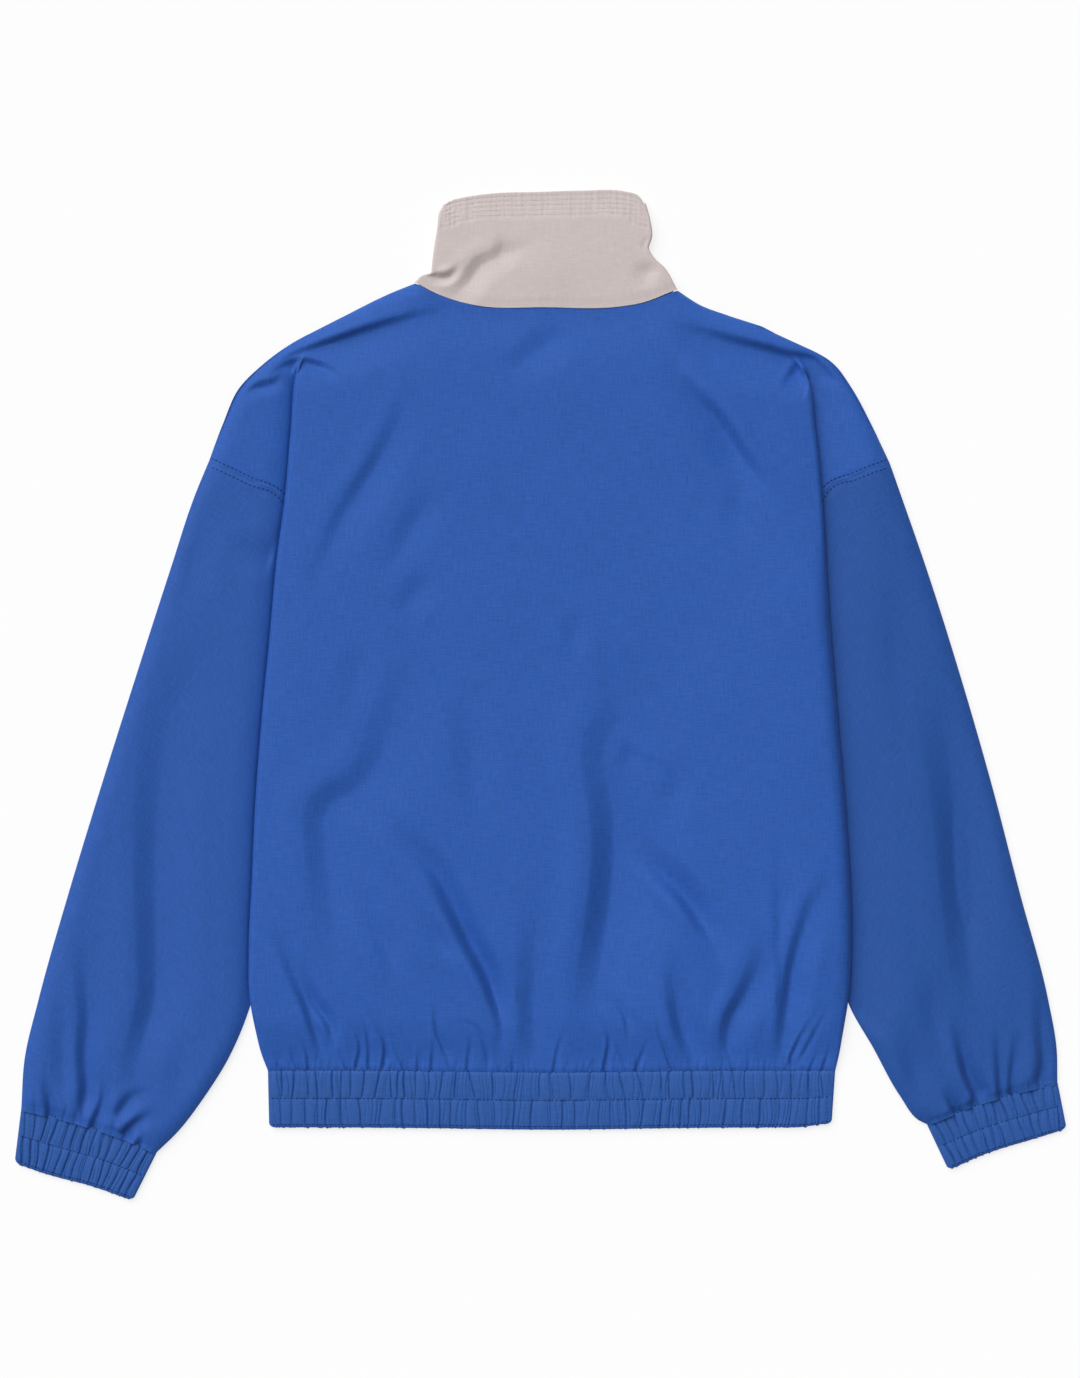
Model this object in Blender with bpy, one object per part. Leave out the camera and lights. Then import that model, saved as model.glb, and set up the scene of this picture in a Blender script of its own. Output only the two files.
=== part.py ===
# A track jacket laid flat on its front, back upward: dropped shoulders, a stand collar,
# shirred cuffs and hem, and a closed front zip that lies underneath.
#
# Frame: origin on the surface that the jacket lies on, under the middle of its outline.
# +X runs to the wearer's right, +Y from the hem to the collar, +Z up through the layers.
# The tables are in millimetres. Heights are those of the middle of a wall.

import math
from collections import namedtuple

import bpy
import numpy as np

mm = 0.001

# ---- Driving sizes, in millimetres ----
clothWall = 1.0          # a panel with its seam allowances and pressed folds
bandWall = 1.2           # cuffs, hem band and collar, which are doubled
seamGap = 0.3            # between pieces that are sewn edge to edge
turnRadius = 0.7         # middle of the cloth where it turns back on itself
shoulderSlant = 0.5      # slope of the shoulder's outline above the tuck
shortestTurn = 1.2       # length of cloth in a turn that is hardly bent
floorMid = clothWall / 2    # a layer that lies on the floor
layerPitch = 2 * turnRadius
sleeveMid = floorMid + layerPitch          # upper wall of a sleeve, and the back beside it
returnMid = sleeveMid + layerPitch         # the back where it is tucked in at the side
backMid = returnMid + layerPitch           # the back where it shows
yokeMid = 4.2            # the back over the shoulder, where no tuck lies under it
hemMid = 3.6             # the back where the hem band gathers it
puff = 0.7               # how much the back stands up between its sides
sleevePuff = 2.6         # how much a sleeve stands up between its edges
pinchStart, cuffPinch = 0.85, 0.55           # and how much less at the cuff, from this share of it
gapFade, bowFade = 20, 3           # how fast the armhole's gap and curve fade down the sleeve
neckLift = 2.2           # how much the slider holds the front of the neck off the floor
neckMid = 5.5            # the back and the collar along the neck seam
neckFade = 1.35          # that lift is gone at this many times the size of the neck
edgeRound = 20           # distance over which a layer comes down to its outer edge
puffReach = 70           # the back stands up fully this far above the hem seam
sideReach = 40           # and its folded sides this far above it
neckReach, neckMargin = 45, 4      # the neck's own height fades out over this, between these ends
sideShare = 0.06         # share of the back's width over which its sides blend into it

hemSeamY = -307          # the band's upper seam
bandDepth = 45.5
armpitLevel = -20        # height on the body where the side seam meets the armhole
tuckTop = 240            # the side tuck starts here
tuckFull = 60            # depth of the side tuck at the armpit
tuckAtHem = 12           # and at the hem seam
foldedTurn = 2.5         # radians: below this the tuck is a step in the cloth, not a fold
steepestStep = 0.2       # least sine of such a step's slope
spreadTurn = 2           # growth of a turn over the shoulder, where the tuck runs out
shortFlat, spreadFlat = 0.5, 6     # tucked-in cloth there, in lengths of the shortest turn
closeColumns = (2, 4)    # first two intervals of the tucked-in layer
slantStart = 10          # above the tuck's top the shoulder's slope begins here
bulgeStart = -80         # and its rounding here
slopeRoom, headRoom, seamRoom = 6, 3, 2      # least room beside the fold for the back's slope
overShares = (0.35, 0.7)           # columns of the flat part between that slope and the fold
zipX = 7
zipHalfGap = 5           # from the zip's middle to the edge of each front

backRibs = 50            # shirring across the back of the hem band
cuffRibs = 14
ribHeight = 1.5
ribSteps = 2             # intervals across one rib
plainStep = 4            # columns of a band's outer face to one of its plain inner face
bandRows = np.array([0, 0.14, 0.36, 0.5, 0.64, 0.86, 1])            # shares of a band's depth
bandFullness = np.array([0.15, 0.75, 0.9, 0.1, 0.9, 0.75, 0.1])     # low at the rows of stitching
cuffGap = 0.4            # between the two layers of a cuff
hemGap = 1.5             # between the two layers of the hem band
cuffTurn, hemTurn = 0.9, 1.15      # how far the folds at a band's sides stand out
innerTurn = 0.5          # the same, on the inside of the band
cuffStart = 0.011        # share of a cuff's depth that the seam's gap takes
hemTaperLeft, hemTaperRight = 1, 3.5     # how much each side draws in down the band
hemCorner, cornerReach = 5, 26     # the band's lower right corner is drawn up
gatherHeight = 0.7       # waves that the elastic draws into the cloth beside it
gatherStart, gatherReach = 4, 38

tapeWall = 0.6
tapeWidth = 14
coilWidth, coilHeight = 3.0, 1.5
coilGap = 0.15           # from the zip's middle to each half of the coil
zipBoxLow, zipBoxHigh = 0.4, 2.4
bodyTapeMid, collarTapeMid = 1.65, 3.9
plateLow, plateHigh, plateWall = 2.15, 5.65, 0.7         # heights of the slider's two plates
sliderHalf, sliderFlange, flangeLip = 4.5, 0.8, 0.3
sliderBottom, sliderTop = 343, 356
postHalf, postSunk = 1.1, 0.2      # the post between the two plates
postStart, postEnd = 3.4, 0.4      # its ends, below the slider's upper end
archBefore, archAfter, archWall = 3.6, 4.4, 1.1          # the arch that carries the tab
archHalf, archRoom, archSunk = 0.9, 0.6, 0.3
pullAxisY, pullAxisZ = 350, 1.3
pullWidth, pullLength, pullWall, pullBar, pullCorner, pullChamfer = 6.4, 28, 1.0, 0.4, 2.2, 0.8
cornerPoints = 5
windowWidth, windowLength = 3.2, 5.8
zipBoxHalf, zipBoxBottom, zipBoxTop = 4.2, -351.5, -343.9

blueBody = (0.033, 0.107, 0.408, 1)
blueBand = (0.028, 0.094, 0.329, 1)
greyCollar = (0.584, 0.521, 0.508, 1)
blueTape = (0.022, 0.062, 0.240, 1)
gunMetal = (0.20, 0.20, 0.21, 1)
clothRough, tapeRough, metalRough = 0.75, 0.8, 0.35

# ---- Tables, in millimetres ----
Point = namedtuple("Point", "x y")
Side = namedtuple("Side", "y left right")
Seam = namedtuple("Seam", "level x y")
Fold = namedtuple("Fold", "x0 y0 x1 y1 x2 y2 width rise")
Span = namedtuple("Span", "low high")

# Where one height or shape passes into the next.
turnOpens = Span(-14, 32)          # above the tuck's top: its turns open out
tuckOpens = Span(-10, 30)          # and its two layers come together
tuckSpreads = Span(5, 40)          # and what is left of it spreads over the shoulder
yokeLifts = Span(2, 30)            # beyond the body's side: the layer rises to the shoulder
sleeveClear = Span(12, 42)         # beyond the body's side: a sleeve stands up
belowHem = Span(30, 55)            # the same above the hem seam, for its lower end
sleeveGather = Span(0.9, 0.99)     # shares of a sleeve's length
coilClear = Span(20, 40)           # beside the zip: the back lies lower
frontEases = Span(-100, -34)       # heights over which a front draws back from the side seam

# Where the folded sides of the body lie, from the hem seam to the shoulder.
bodySides = [
    Side(-307, -223, 242), Side(-294, -228, 245), Side(-274, -233, 248.5), Side(-249, -237.5, 252.5),
    Side(-208, -238.5, 255), Side(-151, -236, 254), Side(-85, -233, 249.5), Side(-20, -228, 244),
    Side(46, -221.5, 238.5), Side(112, -215.5, 234), Side(161, -209, 231), Side(218, -204, 225.5),
    Side(267, -199, 216), Side(297, -188.5, 193),
]

# The armhole seam, and the height on the body's side of the row that ends at each point.
armholes = {
    "left": [Seam(-20, -175.5, -18), Seam(46, -183, 46), Seam(112, -192.5, 111.5),
             Seam(161, -209, 160.5), Seam(222, -238.5, 176.5), Seam(297, -271.5, 192)],
    "right": [Seam(-20, 192, -18), Seam(46, 202, 46), Seam(112, 214, 111.5),
              Seam(161, 232, 166), Seam(222, 259, 180.5), Seam(297, 286.5, 191)],
}

# The shoulder's outline, from the armhole up to the body's side and on to the neck.
shoulders = {
    "left": [Point(-271.5, 192), Point(-259, 223), Point(-245, 252.5), Point(-225.5, 272),
             Point(-197.5, 292), Point(-188.5, 297), Point(-160, 311.5), Point(-119, 331.5),
             Point(-102.5, 338)],
    "right": [Point(286.5, 191), Point(270.5, 223), Point(254, 252.5), Point(239.5, 272),
              Point(204, 292), Point(193, 297), Point(155, 311.5), Point(131, 320.5),
              Point(113, 332)],
}
tuckPoint = 5            # the point of the shoulder's outline above the body's side
neckBack = [Point(-102.5, 338), Point(-86, 329.5), Point(-57, 320.5), Point(8, 318), Point(66, 318.5),
            Point(84.5, 321.5), Point(113, 332)]
frontNeckDrop = 68

# A sleeve's outer edge from the shoulder to the cuff, and its underarm edge from the armpit.
sleeveOuter = {
    "left": [Point(-271.5, 192), Point(-283, 164), Point(-302.5, 105), Point(-331, 16.5),
             Point(-359, -72), Point(-386, -160.5), Point(-411, -249), Point(-422.5, -298.5),
             Point(-425, -337)],
    "right": [Point(286.5, 191), Point(296, 164), Point(316.5, 105), Point(344.5, 16.5),
              Point(370, -72), Point(393, -160.5), Point(416.5, -249), Point(423.5, -290),
              Point(424, -316)],
}
sleeveInner = {
    "left": [Point(-175.5, -18), Point(-192.5, -77), Point(-211.5, -151), Point(-228, -216.5),
             Point(-238, -256), Point(-256, -298.5), Point(-274.5, -328), Point(-297, -357.5),
             Point(-314, -374)],
    "right": [Point(192, -18), Point(208.5, -77), Point(226.5, -151), Point(242, -208.5),
              Point(252.5, -251.5), Point(273, -288.5), Point(295, -328), Point(310, -347.5),
              Point(317, -351)],
}
cuffSeam = {
    "left": [Point(-425, -337), Point(-403.5, -342), Point(-364, -353.5), Point(-329.5, -366.5),
             Point(-314, -374)],
    "right": [Point(424, -316), Point(396, -322.5), Point(354, -335.5), Point(317, -351)],
}
cuffEnd = {
    "left": [Point(-430.5, -382), Point(-406, -390.5), Point(-364, -402), Point(-333.5, -413)],
    "right": [Point(431.5, -354), Point(408.5, -361), Point(360, -376.5), Point(334.5, -388)],
}

# The collar's sides, from the neck seam to the top edge, and that edge across the back.
collarSides = {
    "left": [Point(-102, 339.5), Point(-95, 345.5), Point(-89, 353), Point(-85, 376), Point(-81, 400)],
    "right": [Point(112, 333.8), Point(101.5, 351), Point(90, 364), Point(92.5, 377), Point(87, 402)],
}
collarTop = [Point(-81, 400), Point(-68, 406), Point(-36, 411), Point(34, 413), Point(70, 412),
             Point(87, 402)]
collarFrontDip = 40      # the front of the top edge lies this much lower
collarTurn = 1.1         # how far the folds at the collar's sides stand out
collarSeamGap, collarFrontGap = 0.8, 0.5     # the collar and the back meet at an angle
frontDipShape = 0.8      # how square the dip of its front edge is
collarFoldFade = 14      # its folds fade out this far from its left side
bumpRise, bumpY = 1.5, 352         # the slider's bump in the collar's back layer
sliderBump = Point(26, 20)

# The largest folds: start, middle and end in plan, the width of one side, and the rise
# (troughs are negative).
backFolds = [
    Fold(-105, 256, -144, 181, -195, 84, 17, -1.7),      # from the left shoulder, down the side
    Fold(-87, 174, -119, 124, -123, 66, 15, -1.1),
    Fold(107, 274, 151, 222, 199, 156, 17, -1.6),        # from the right shoulder
    Fold(20, 304, -11, 286, -35, 262, 14, -1.0),
    Fold(-118, 66, -129, -12, -187, -86, 17, -1.4),      # long folds above the hem
    Fold(-187, -86, -178, -180, -173, -230, 15, -1.2),
    Fold(-133, -97, -76, -172, -35, -278, 16, -2.2),
    Fold(43, 48, 50, -90, 36, -262, 19, -2.0),
    Fold(80, -128, 113, -168, 147, -214, 14, -1.4),
    Fold(105, -221, 110, -260, 127, -303, 13, -1.5),
    Fold(182, -195, 163, -245, 148, -302, 13, -1.4),
    Fold(191, -101, 193, -200, 193, -303, 12, -1.1),
    Fold(-222, -191, -194, -246, -178, -303, 12, -1.3),
    Fold(-12, -151, -13, -230, -12, -303, 15, -1.2),
    Fold(-70, -60, -60, -150, -52, -260, 22, 1.0),       # soft ridges between them
    Fold(75, -60, 84, -140, 84, -250, 22, 1.0),
    Fold(-83, 316, -170, 293, -226, 262, 13, -1.8),      # the groove along each shoulder
    Fold(103, 308, 177, 288, 232, 262, 13, -1.6),
]
collarFolds = [Fold(-79, 329, -55, 350, -31, 383, 9, -0.9), Fold(-87, 349, -76, 348, -65, 350, 6, -0.8)]
sleeveFolds = {
    "left": [Fold(-251, 84, -322, -90, -323, -249, 19, -1.8),
             Fold(-323, -249, -334, -300, -351, -341, 13, -1.8),
             Fold(-375, -200, -376, -275, -379, -347, 12, -1.5)],
    "right": [Fold(308, 28, 342, -180, 353, -268, 19, -1.8),
              Fold(338, -266, 345, -308, 358, -332, 12, -1.9),
              Fold(407, -226, 408, -275, 405, -315, 12, -1.4)],
}

# Rows of the back panel, as heights on the body's sides.
backRows = [-307, -299, -287, -268, -243, -212, -174, -132, -90, -56, -38, -20, 10, 45, 80, 112, 138,
            161, 184, 206, 228, 240, 252, 264, 280, 297]
armpitRow = backRows.index(armpitLevel)
backColumns = 34         # intervals across the part of the back that shows
shoulderColumns = 6      # of them along each shoulder
yokeColumns = 4          # intervals from the armhole to the tuck
turnSteps = 3            # intervals round one turn of the cloth
tuckColumns = 5          # intervals along the tucked-in layer
frontColumns = 4         # intervals along each front part of the hem band
cuffColumns = 5          # intervals across the lower layer of a cuff
collarRows, collarColumns = 7, 18
neckColumns = 6          # points along each half of the front of the neck
frontBow = 4             # how fast the curves of a front's ends fade out along it
curvePoints, foldPoints = 60, 13   # points along an outline and a fold, to measure from
foldFade = 0.25          # share of a fold's rise that is left at its ends
ribVariety = 0.28        # ribs are this much wider or narrower than the average one
slopeStart, slopeLength = 1.6, 4         # the back coming down beside the sleeve's underarm edge
frontRows = [-307, -265, -205, -145, -90, -36]     # rows of a front below the armpit
armpitEase = 1.8         # a front stays this much further back right below the armpit
underarmStations = np.array([0, 2, 4, 6, 8, 11, 14])     # armhole points used underneath
armholeGap = Point(0.5, -0.45)     # between a sleeve's own start and the armhole seam
tapeRows = [-343.5, -300, -150, 0, 120, 205, 215, 225, 235, 245, 255, 265, 352]
tapeRises = Span(-60, -8)          # below the front of the neck
ribSeeds = {"hem": 1, "left": 3, "right": 4}
sleeveRings = np.concatenate([np.linspace(0, 0.9, 13), [0.935, 0.967, 0.9985]])
sleeveRound = 26


# ---- Reading the tables ----

def glide(knots, values, at):
    # Cubic pieces through the table whose slopes are the table's own differences.
    knots, values, at = np.asarray(knots, float), np.asarray(values, float), np.asarray(at, float)
    slopes = np.gradient(values, knots, axis=0)
    piece = np.clip(np.searchsorted(knots, at, side="right") - 1, 0, len(knots) - 2)
    span = knots[piece + 1] - knots[piece]
    f = (at - knots[piece]) / span
    if values.ndim > 1:
        f, span = f[..., None], span[..., None]
    return ((1 + 2 * f) * (1 - f) ** 2 * values[piece] + f * (1 - f) ** 2 * span * slopes[piece]
            + f * f * (3 - 2 * f) * values[piece + 1] - f * f * (1 - f) * span * slopes[piece + 1])


def alongCurve(points, t):
    # The curve through the points, read at t from 0 to 1 of its length.
    points = np.asarray(points, float)
    steps = np.linalg.norm(np.diff(points, axis=0), axis=1)
    length = np.concatenate([[0], np.cumsum(steps)])
    return glide(length / length[-1], points, t)


def smooth(value, low, high):
    # 0 below low, 1 above high, and an S between them.
    f = np.clip((value - low) / (high - low), 0, 1)
    return f * f * (3 - 2 * f)


def patch(left, right, bottom, top, v, reach=3):
    # A grid between four edges. The bottom and top edges fade out over the rows.
    u = np.linspace(0, 1, bottom.shape[0])[None, :, None]
    rows = v[:, None, None]
    sides = left[:, None] * (1 - u) + right[:, None] * u
    bowLow = bottom[None] - (bottom[0] * (1 - u) + bottom[-1] * u)
    bowHigh = top[None] - (top[0] * (1 - u) + top[-1] * u)
    return sides + bowLow * (1 - rows) ** reach + bowHigh * rows ** reach


def distanceTo(points, xy):
    # Distance of each grid point from a curve, by its nearest piece.
    curve = alongCurve(points, np.linspace(0, 1, curvePoints))
    start, step = curve[:-1], np.diff(curve, axis=0)
    off = xy[..., None, :] - start
    t = np.clip((off * step).sum(-1) / (step * step).sum(-1), 0, 1)
    return np.linalg.norm(off - t[..., None] * step, axis=-1).min(-1)


def foldRelief(folds, xy):
    # Each fold is a soft channel along a bent line, which fades out at both ends.
    relief = np.zeros(xy.shape[:-1])
    t = np.linspace(0, 1, foldPoints)[:, None]
    for fold in folds:
        a, b, c = (np.array(p) for p in ((fold.x0, fold.y0), (fold.x1, fold.y1), (fold.x2, fold.y2)))
        bend = 2 * b - (a + c) / 2
        line = a * (1 - t) ** 2 + bend * 2 * t * (1 - t) + c * t * t
        start, step = line[:-1], np.diff(line, axis=0)
        off = xy[..., None, :] - start
        along = np.clip((off * step).sum(-1) / (step * step).sum(-1), 0, 1)
        gap = np.linalg.norm(off - along[..., None] * step, axis=-1)
        nearest = gap.argmin(-1)
        place = (nearest + np.take_along_axis(along, nearest[..., None], -1)[..., 0]) / len(step)
        fade = foldFade + (1 - foldFade) * np.sin(np.pi * np.clip(place, 0, 1))
        relief += fold.rise * fade * np.exp(-(gap.min(-1) / fold.width) ** 2)
    return relief


def roundEdge(distance, reach=edgeRound):
    # Height of a layer near its outer edge, as the quarter of an ellipse: 0 to 1.
    return np.sqrt(1 - (1 - np.clip(distance / reach, 0, 1)) ** 2)


def neckRise(xy):
    # How far the slider's thickness lifts the cloth near the front of the neck.
    ends = shoulders["left"][-1], shoulders["right"][-1]
    middle = Point((ends[0].x + ends[1].x) / 2, (ends[0].y + ends[1].y) / 2)
    half = (ends[1].x - ends[0].x) / 2
    ring = np.hypot((xy[..., 0] - middle.x) / half, (xy[..., 1] - middle.y) / frontNeckDrop)
    return neckLift * (1 - smooth(ring, 1, neckFade))


# ---- Meshes ----

def normalsOf(grid, ring=False):
    # Unit normals from the average directions of the edges that meet at each point.
    def heading(axis, closed):
        if closed:
            steps = np.roll(grid, -1, axis) - grid
            steps /= np.linalg.norm(steps, axis=-1, keepdims=True) + 1e-9
            return steps + np.roll(steps, 1, axis)
        steps = np.diff(grid, axis=axis)
        steps /= np.linalg.norm(steps, axis=-1, keepdims=True) + 1e-9
        first, last = np.take(steps, [0], axis), np.take(steps, [-1], axis)
        return np.concatenate([first, steps], axis) + np.concatenate([steps, last], axis)
    across = np.cross(heading(1, ring), heading(0, False))
    return across / (np.linalg.norm(across, axis=-1, keepdims=True) + 1e-9)


def wallOf(grid, thickness, outward=1, ring=False):
    # The two faces of a wall round its middle surface, neither lower than the floor.
    half = normalsOf(grid, ring) * outward * thickness / 2
    outer, inner = grid + half, grid - half
    for face in (outer, inner):
        face[..., 2] = np.maximum(face[..., 2], 0)
    return outer, inner


def addObject(name, points, faces, colour, roughness, metallic=0.0, origin=(0, 0, 0)):
    # One closed mesh with its own material. Faces are turned outward by their volume.
    used = sorted({index for face in faces for index in face})
    place = {old: new for new, old in enumerate(used)}
    points = np.asarray(points, float)[used] * mm
    faces = [[place[index] for index in face] for face in faces]
    volume = sum(np.dot(points[f[0]], np.cross(points[f[k]], points[f[k + 1]]))
                 for f in faces for k in range(1, len(f) - 1))
    if volume < 0:
        faces = [face[::-1] for face in faces]
    mesh = bpy.data.meshes.new(name)
    mesh.from_pydata((points - np.array(origin) * mm).tolist(), [], faces)
    material = bpy.data.materials.new(name)
    material.use_nodes = True
    shader = material.node_tree.nodes["Principled BSDF"]
    shader.inputs["Base Color"].default_value = colour
    shader.inputs["Roughness"].default_value = roughness
    shader.inputs["Metallic"].default_value = metallic
    mesh.materials.append(material)
    piece = bpy.data.objects.new(name, mesh)
    piece.location = np.array(origin) * mm
    bpy.context.scene.collection.objects.link(piece)
    return piece


def wallFaces(rows, columns, keep, ring):
    # Faces of a wall between two equal grids, closed round the edge of the kept cells.
    wrap = columns if ring else columns - 1
    lift = rows * columns

    def at(i, j):
        return i * columns + j % columns

    def kept(i, j):
        if ring:
            j %= wrap
        return 0 <= i < rows - 1 and 0 <= j < wrap and keep[i, j]

    faces = []
    for i in range(rows - 1):
        for j in range(wrap):
            if not kept(i, j):
                continue
            a, b, c, d = at(i, j), at(i, j + 1), at(i + 1, j + 1), at(i + 1, j)
            faces += [[a, b, c, d], [d + lift, c + lift, b + lift, a + lift]]
            for p, q, beside in ((a, b, (i - 1, j)), (b, c, (i, j + 1)), (c, d, (i + 1, j)),
                                 (d, a, (i, j - 1))):
                if not kept(*beside):
                    faces.append([q, p, p + lift, q + lift])
    return faces


def addPanel(name, grid, thickness, colour, outward=1, ring=False, keep=None):
    outer, inner = wallOf(grid, thickness, outward, ring)
    rows, columns = grid.shape[:2]
    if keep is None:
        keep = np.ones((rows, columns), bool)
    points = np.concatenate([outer.reshape(-1, 3), inner.reshape(-1, 3)])
    return addObject(name, points, wallFaces(rows, columns, keep, ring), colour, clothRough)


def addRibbedBand(name, outer, inner, stations, colour, ring):
    # A band whose outer face has ribs and whose inner face is plain: the inner face uses
    # only the columns listed in stations, and its edges fan out to the outer ones.
    rows, columns = outer.shape[:2]
    plain = inner[:, stations]
    count = len(stations)
    lift = rows * columns
    points = np.concatenate([outer.reshape(-1, 3), plain.reshape(-1, 3)])
    ends = stations[1:] + ([stations[0] + columns] if ring else [])
    faces = []
    for i in range(rows - 1):
        for j in range(columns if ring else columns - 1):
            a, b = i * columns + j, i * columns + (j + 1) % columns
            faces.append([a, b, b + columns, a + columns])
    for k, end in enumerate(ends):
        near, far = lift + k, lift + (k + 1) % count
        for i in range(rows - 1):
            faces.append([far + i * count, near + i * count, near + (i + 1) * count,
                          far + (i + 1) * count])
        for row, turn in ((0, 1), (rows - 1, -1)):
            inNear, inFar = near + row * count, far + row * count
            span = [row * columns + j % columns for j in range(stations[k], end + 1)]
            for p, q in zip(span[:-1], span[1:]):
                faces.append([q, p, inNear][::turn])
            faces.append([span[-1], inNear, inFar][::turn])
    if not ring:
        for i in range(rows - 1):
            low, high = i * columns, (i + 1) * columns
            faces.append([low, high, lift + (i + 1) * count, lift + i * count])
            faces.append([high + columns - 1, low + columns - 1, lift + (i + 1) * count - 1,
                          lift + (i + 2) * count - 1])
    return addObject(name, points, faces, colour, clothRough)


# ---- The back ----

def backHeight(xy, level):
    # Height of the part of the back that shows, away from its sides.
    rise = smooth(xy[..., 1], hemSeamY, hemSeamY + puffReach)
    base = hemMid + (level + puff - hemMid) * rise
    wave = np.cos(np.pi * np.arange(xy.shape[1]))
    fade = 1 - smooth(xy[..., 1], hemSeamY + gatherStart, hemSeamY + gatherReach)
    gather = gatherHeight * wave * fade
    return base + gather + foldRelief(backFolds, xy)


def tuckDepth(y):
    return tuckFull * np.clip((tuckTop - y) / (tuckTop - armpitLevel), 0, 1)


def sideLevel(y):
    # Height of the back at its folded side: lower at the hem and over the shoulder.
    low = hemMid + (backMid - hemMid) * smooth(y, hemSeamY, hemSeamY + sideReach)
    return low + (yokeMid - backMid) * smooth(y - tuckTop, *tuckOpens)


def hemStrip(side, edgeX, y):
    # One row of the back below the armpit: from the side seam on the floor, up over the
    # sleeve's underarm edge, and round the folded side. The first columns stay unused.
    level = sideLevel(y)
    overSleeve = min(returnMid, level - layerPitch)
    fold = edgeX - turnRadius
    slopeFoot = min(sleeveEdgeX(side, y) - slopeStart - slopeLength, fold - slopeRoom)
    slopeHead = min(sleeveEdgeX(side, y) - slopeStart, fold - headRoom)
    seamX = min(sideSeamX(side, y), slopeFoot - seamRoom)
    flat = fold - slopeHead
    turns = np.pi * np.linspace(0, 1, turnSteps + 1)[1:]
    out = np.concatenate([np.full(yokeColumns + turnSteps + 1, seamX),
                          [slopeFoot, slopeHead, *(slopeHead + share * flat for share in overShares),
                           fold],
                          fold + turnRadius * np.sin(turns)])
    middle, half = (level + overSleeve) / 2, (level - overSleeve) / 2
    z = np.concatenate([np.full(yokeColumns + turnSteps + 2, floorMid), np.full(4, overSleeve),
                        middle - half * np.cos(turns)])
    return np.column_stack([out * outward(side), np.full(len(out), y), z])


def tuckStrip(side, edgeX, y):
    # One row of the back above the armpit: the armhole part, the turn, the tucked-in layer
    # and the turn at the visible side. Near the shoulder, where the cloth hardly turns,
    # each turn is still shortestTurn long.
    turn = math.pi * (1 - smooth(y - tuckTop, *turnOpens))
    rise = 2 * layerPitch * (1 - smooth(y - tuckTop, *tuckOpens))
    spread = smooth(y - tuckTop, *tuckSpreads)
    stepLength = max(turnRadius * turn, shortestTurn * (1 + spreadTurn * spread)) / turnSteps
    swing = turn * (np.arange(turnSteps) + 0.5) / turnSteps
    flat = tuckDepth(y) - 2 * turnRadius
    if turn < foldedTurn:
        flat = (rise - 2 * stepLength * np.sin(swing).sum()) / max(math.sin(turn), steepestStep)
    flat = max(flat, shortestTurn * (shortFlat + spreadFlat * spread))
    heading = np.concatenate([swing, np.full(tuckColumns, turn), swing[::-1]])
    length = np.full(len(heading), stepLength)
    length[turnSteps:-turnSteps] = flat / tuckColumns
    close = [min(step, flat / tuckColumns) for step in closeColumns]
    length[turnSteps:turnSteps + 2] = close
    length[turnSteps + 2:-turnSteps] = (flat - sum(close)) / (tuckColumns - 2)
    inward = np.concatenate([[0], np.cumsum(length * np.cos(heading))])
    inward -= inward[turnSteps:].min()
    z = np.concatenate([[0], np.cumsum(length * np.sin(heading))])
    z += sideLevel(y) - z[-1]
    x = (edgeX - inward) * outward(side)
    slant = shoulderSlant * smooth(y, tuckTop + slantStart, backRows[-1])
    tuck = np.column_stack([x, y + slant * inward, z])
    share = np.linspace(0, 1, yokeColumns + 1)[:-1, None]
    yoke = seamEnd(side, y) * (1 - share) + tuck[0, :2] * share
    outline = alongCurve(shoulders[side][:tuckPoint + 1], np.linspace(0, 1, yokeColumns + 1))
    bulge = outline[:-1] - (outline[0] * (1 - share) + outline[-1] * share)
    yoke += bulge * smooth(y, tuckTop + bulgeStart, backRows[-1]) ** 2
    clear = edgeX - yoke[:, 0] * outward(side)
    full = z[0] + (yokeMid - z[0]) * smooth(-clear, *yokeLifts)
    return np.concatenate([np.column_stack([yoke, full]), tuck])


def outward(side):
    return -1 if side == "left" else 1


def seamEnd(side, y):
    table = armholes[side]
    return glide([s.level for s in table], [(s.x, s.y) for s in table], y)


def shoulderToNeck(side, start):
    # The shoulder's outline from the end of the tuck's top row to the neck.
    outline = [tuple(start)] + shoulders[side][tuckPoint + 1:]
    return alongCurve(outline, np.linspace(0, 1, shoulderColumns + 1))


def bodyEdgeX(side, y):
    # Distance of the folded side of the body from x = 0.
    table = [(level.y, abs(getattr(level, side))) for level in bodySides]
    y = np.clip(y, table[0][0], table[-1][0])
    return glide([row[0] for row in table], [row[1] for row in table], y)


def sideSeamX(side, y):
    # Distance from x = 0 of the side seam underneath, from the armpit to the hem.
    share = (y - hemSeamY) / (armpitLevel - hemSeamY)
    return bodyEdgeX(side, y) - tuckAtHem - (tuckFull - tuckAtHem) * share


def sleeveEdgeX(side, y):
    # Distance from x = 0 of the sleeve's underarm edge where the back passes over it.
    table = sleeveInner[side][::-1]
    return glide([p.y for p in table], [abs(p.x) for p in table], max(y, table[0].y))


def lowestBack(xy):
    # The back stays clear of the fronts everywhere, and of the coil along the zip.
    beside = 1 - smooth(np.abs(xy[..., 0] - zipX), *coilClear)
    overCoil = tapeMid(xy[..., 1]) + (coilHeight + clothWall) / 2 + seamGap
    return np.maximum(sleeveMid + neckRise(xy), overCoil * beside)


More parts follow.
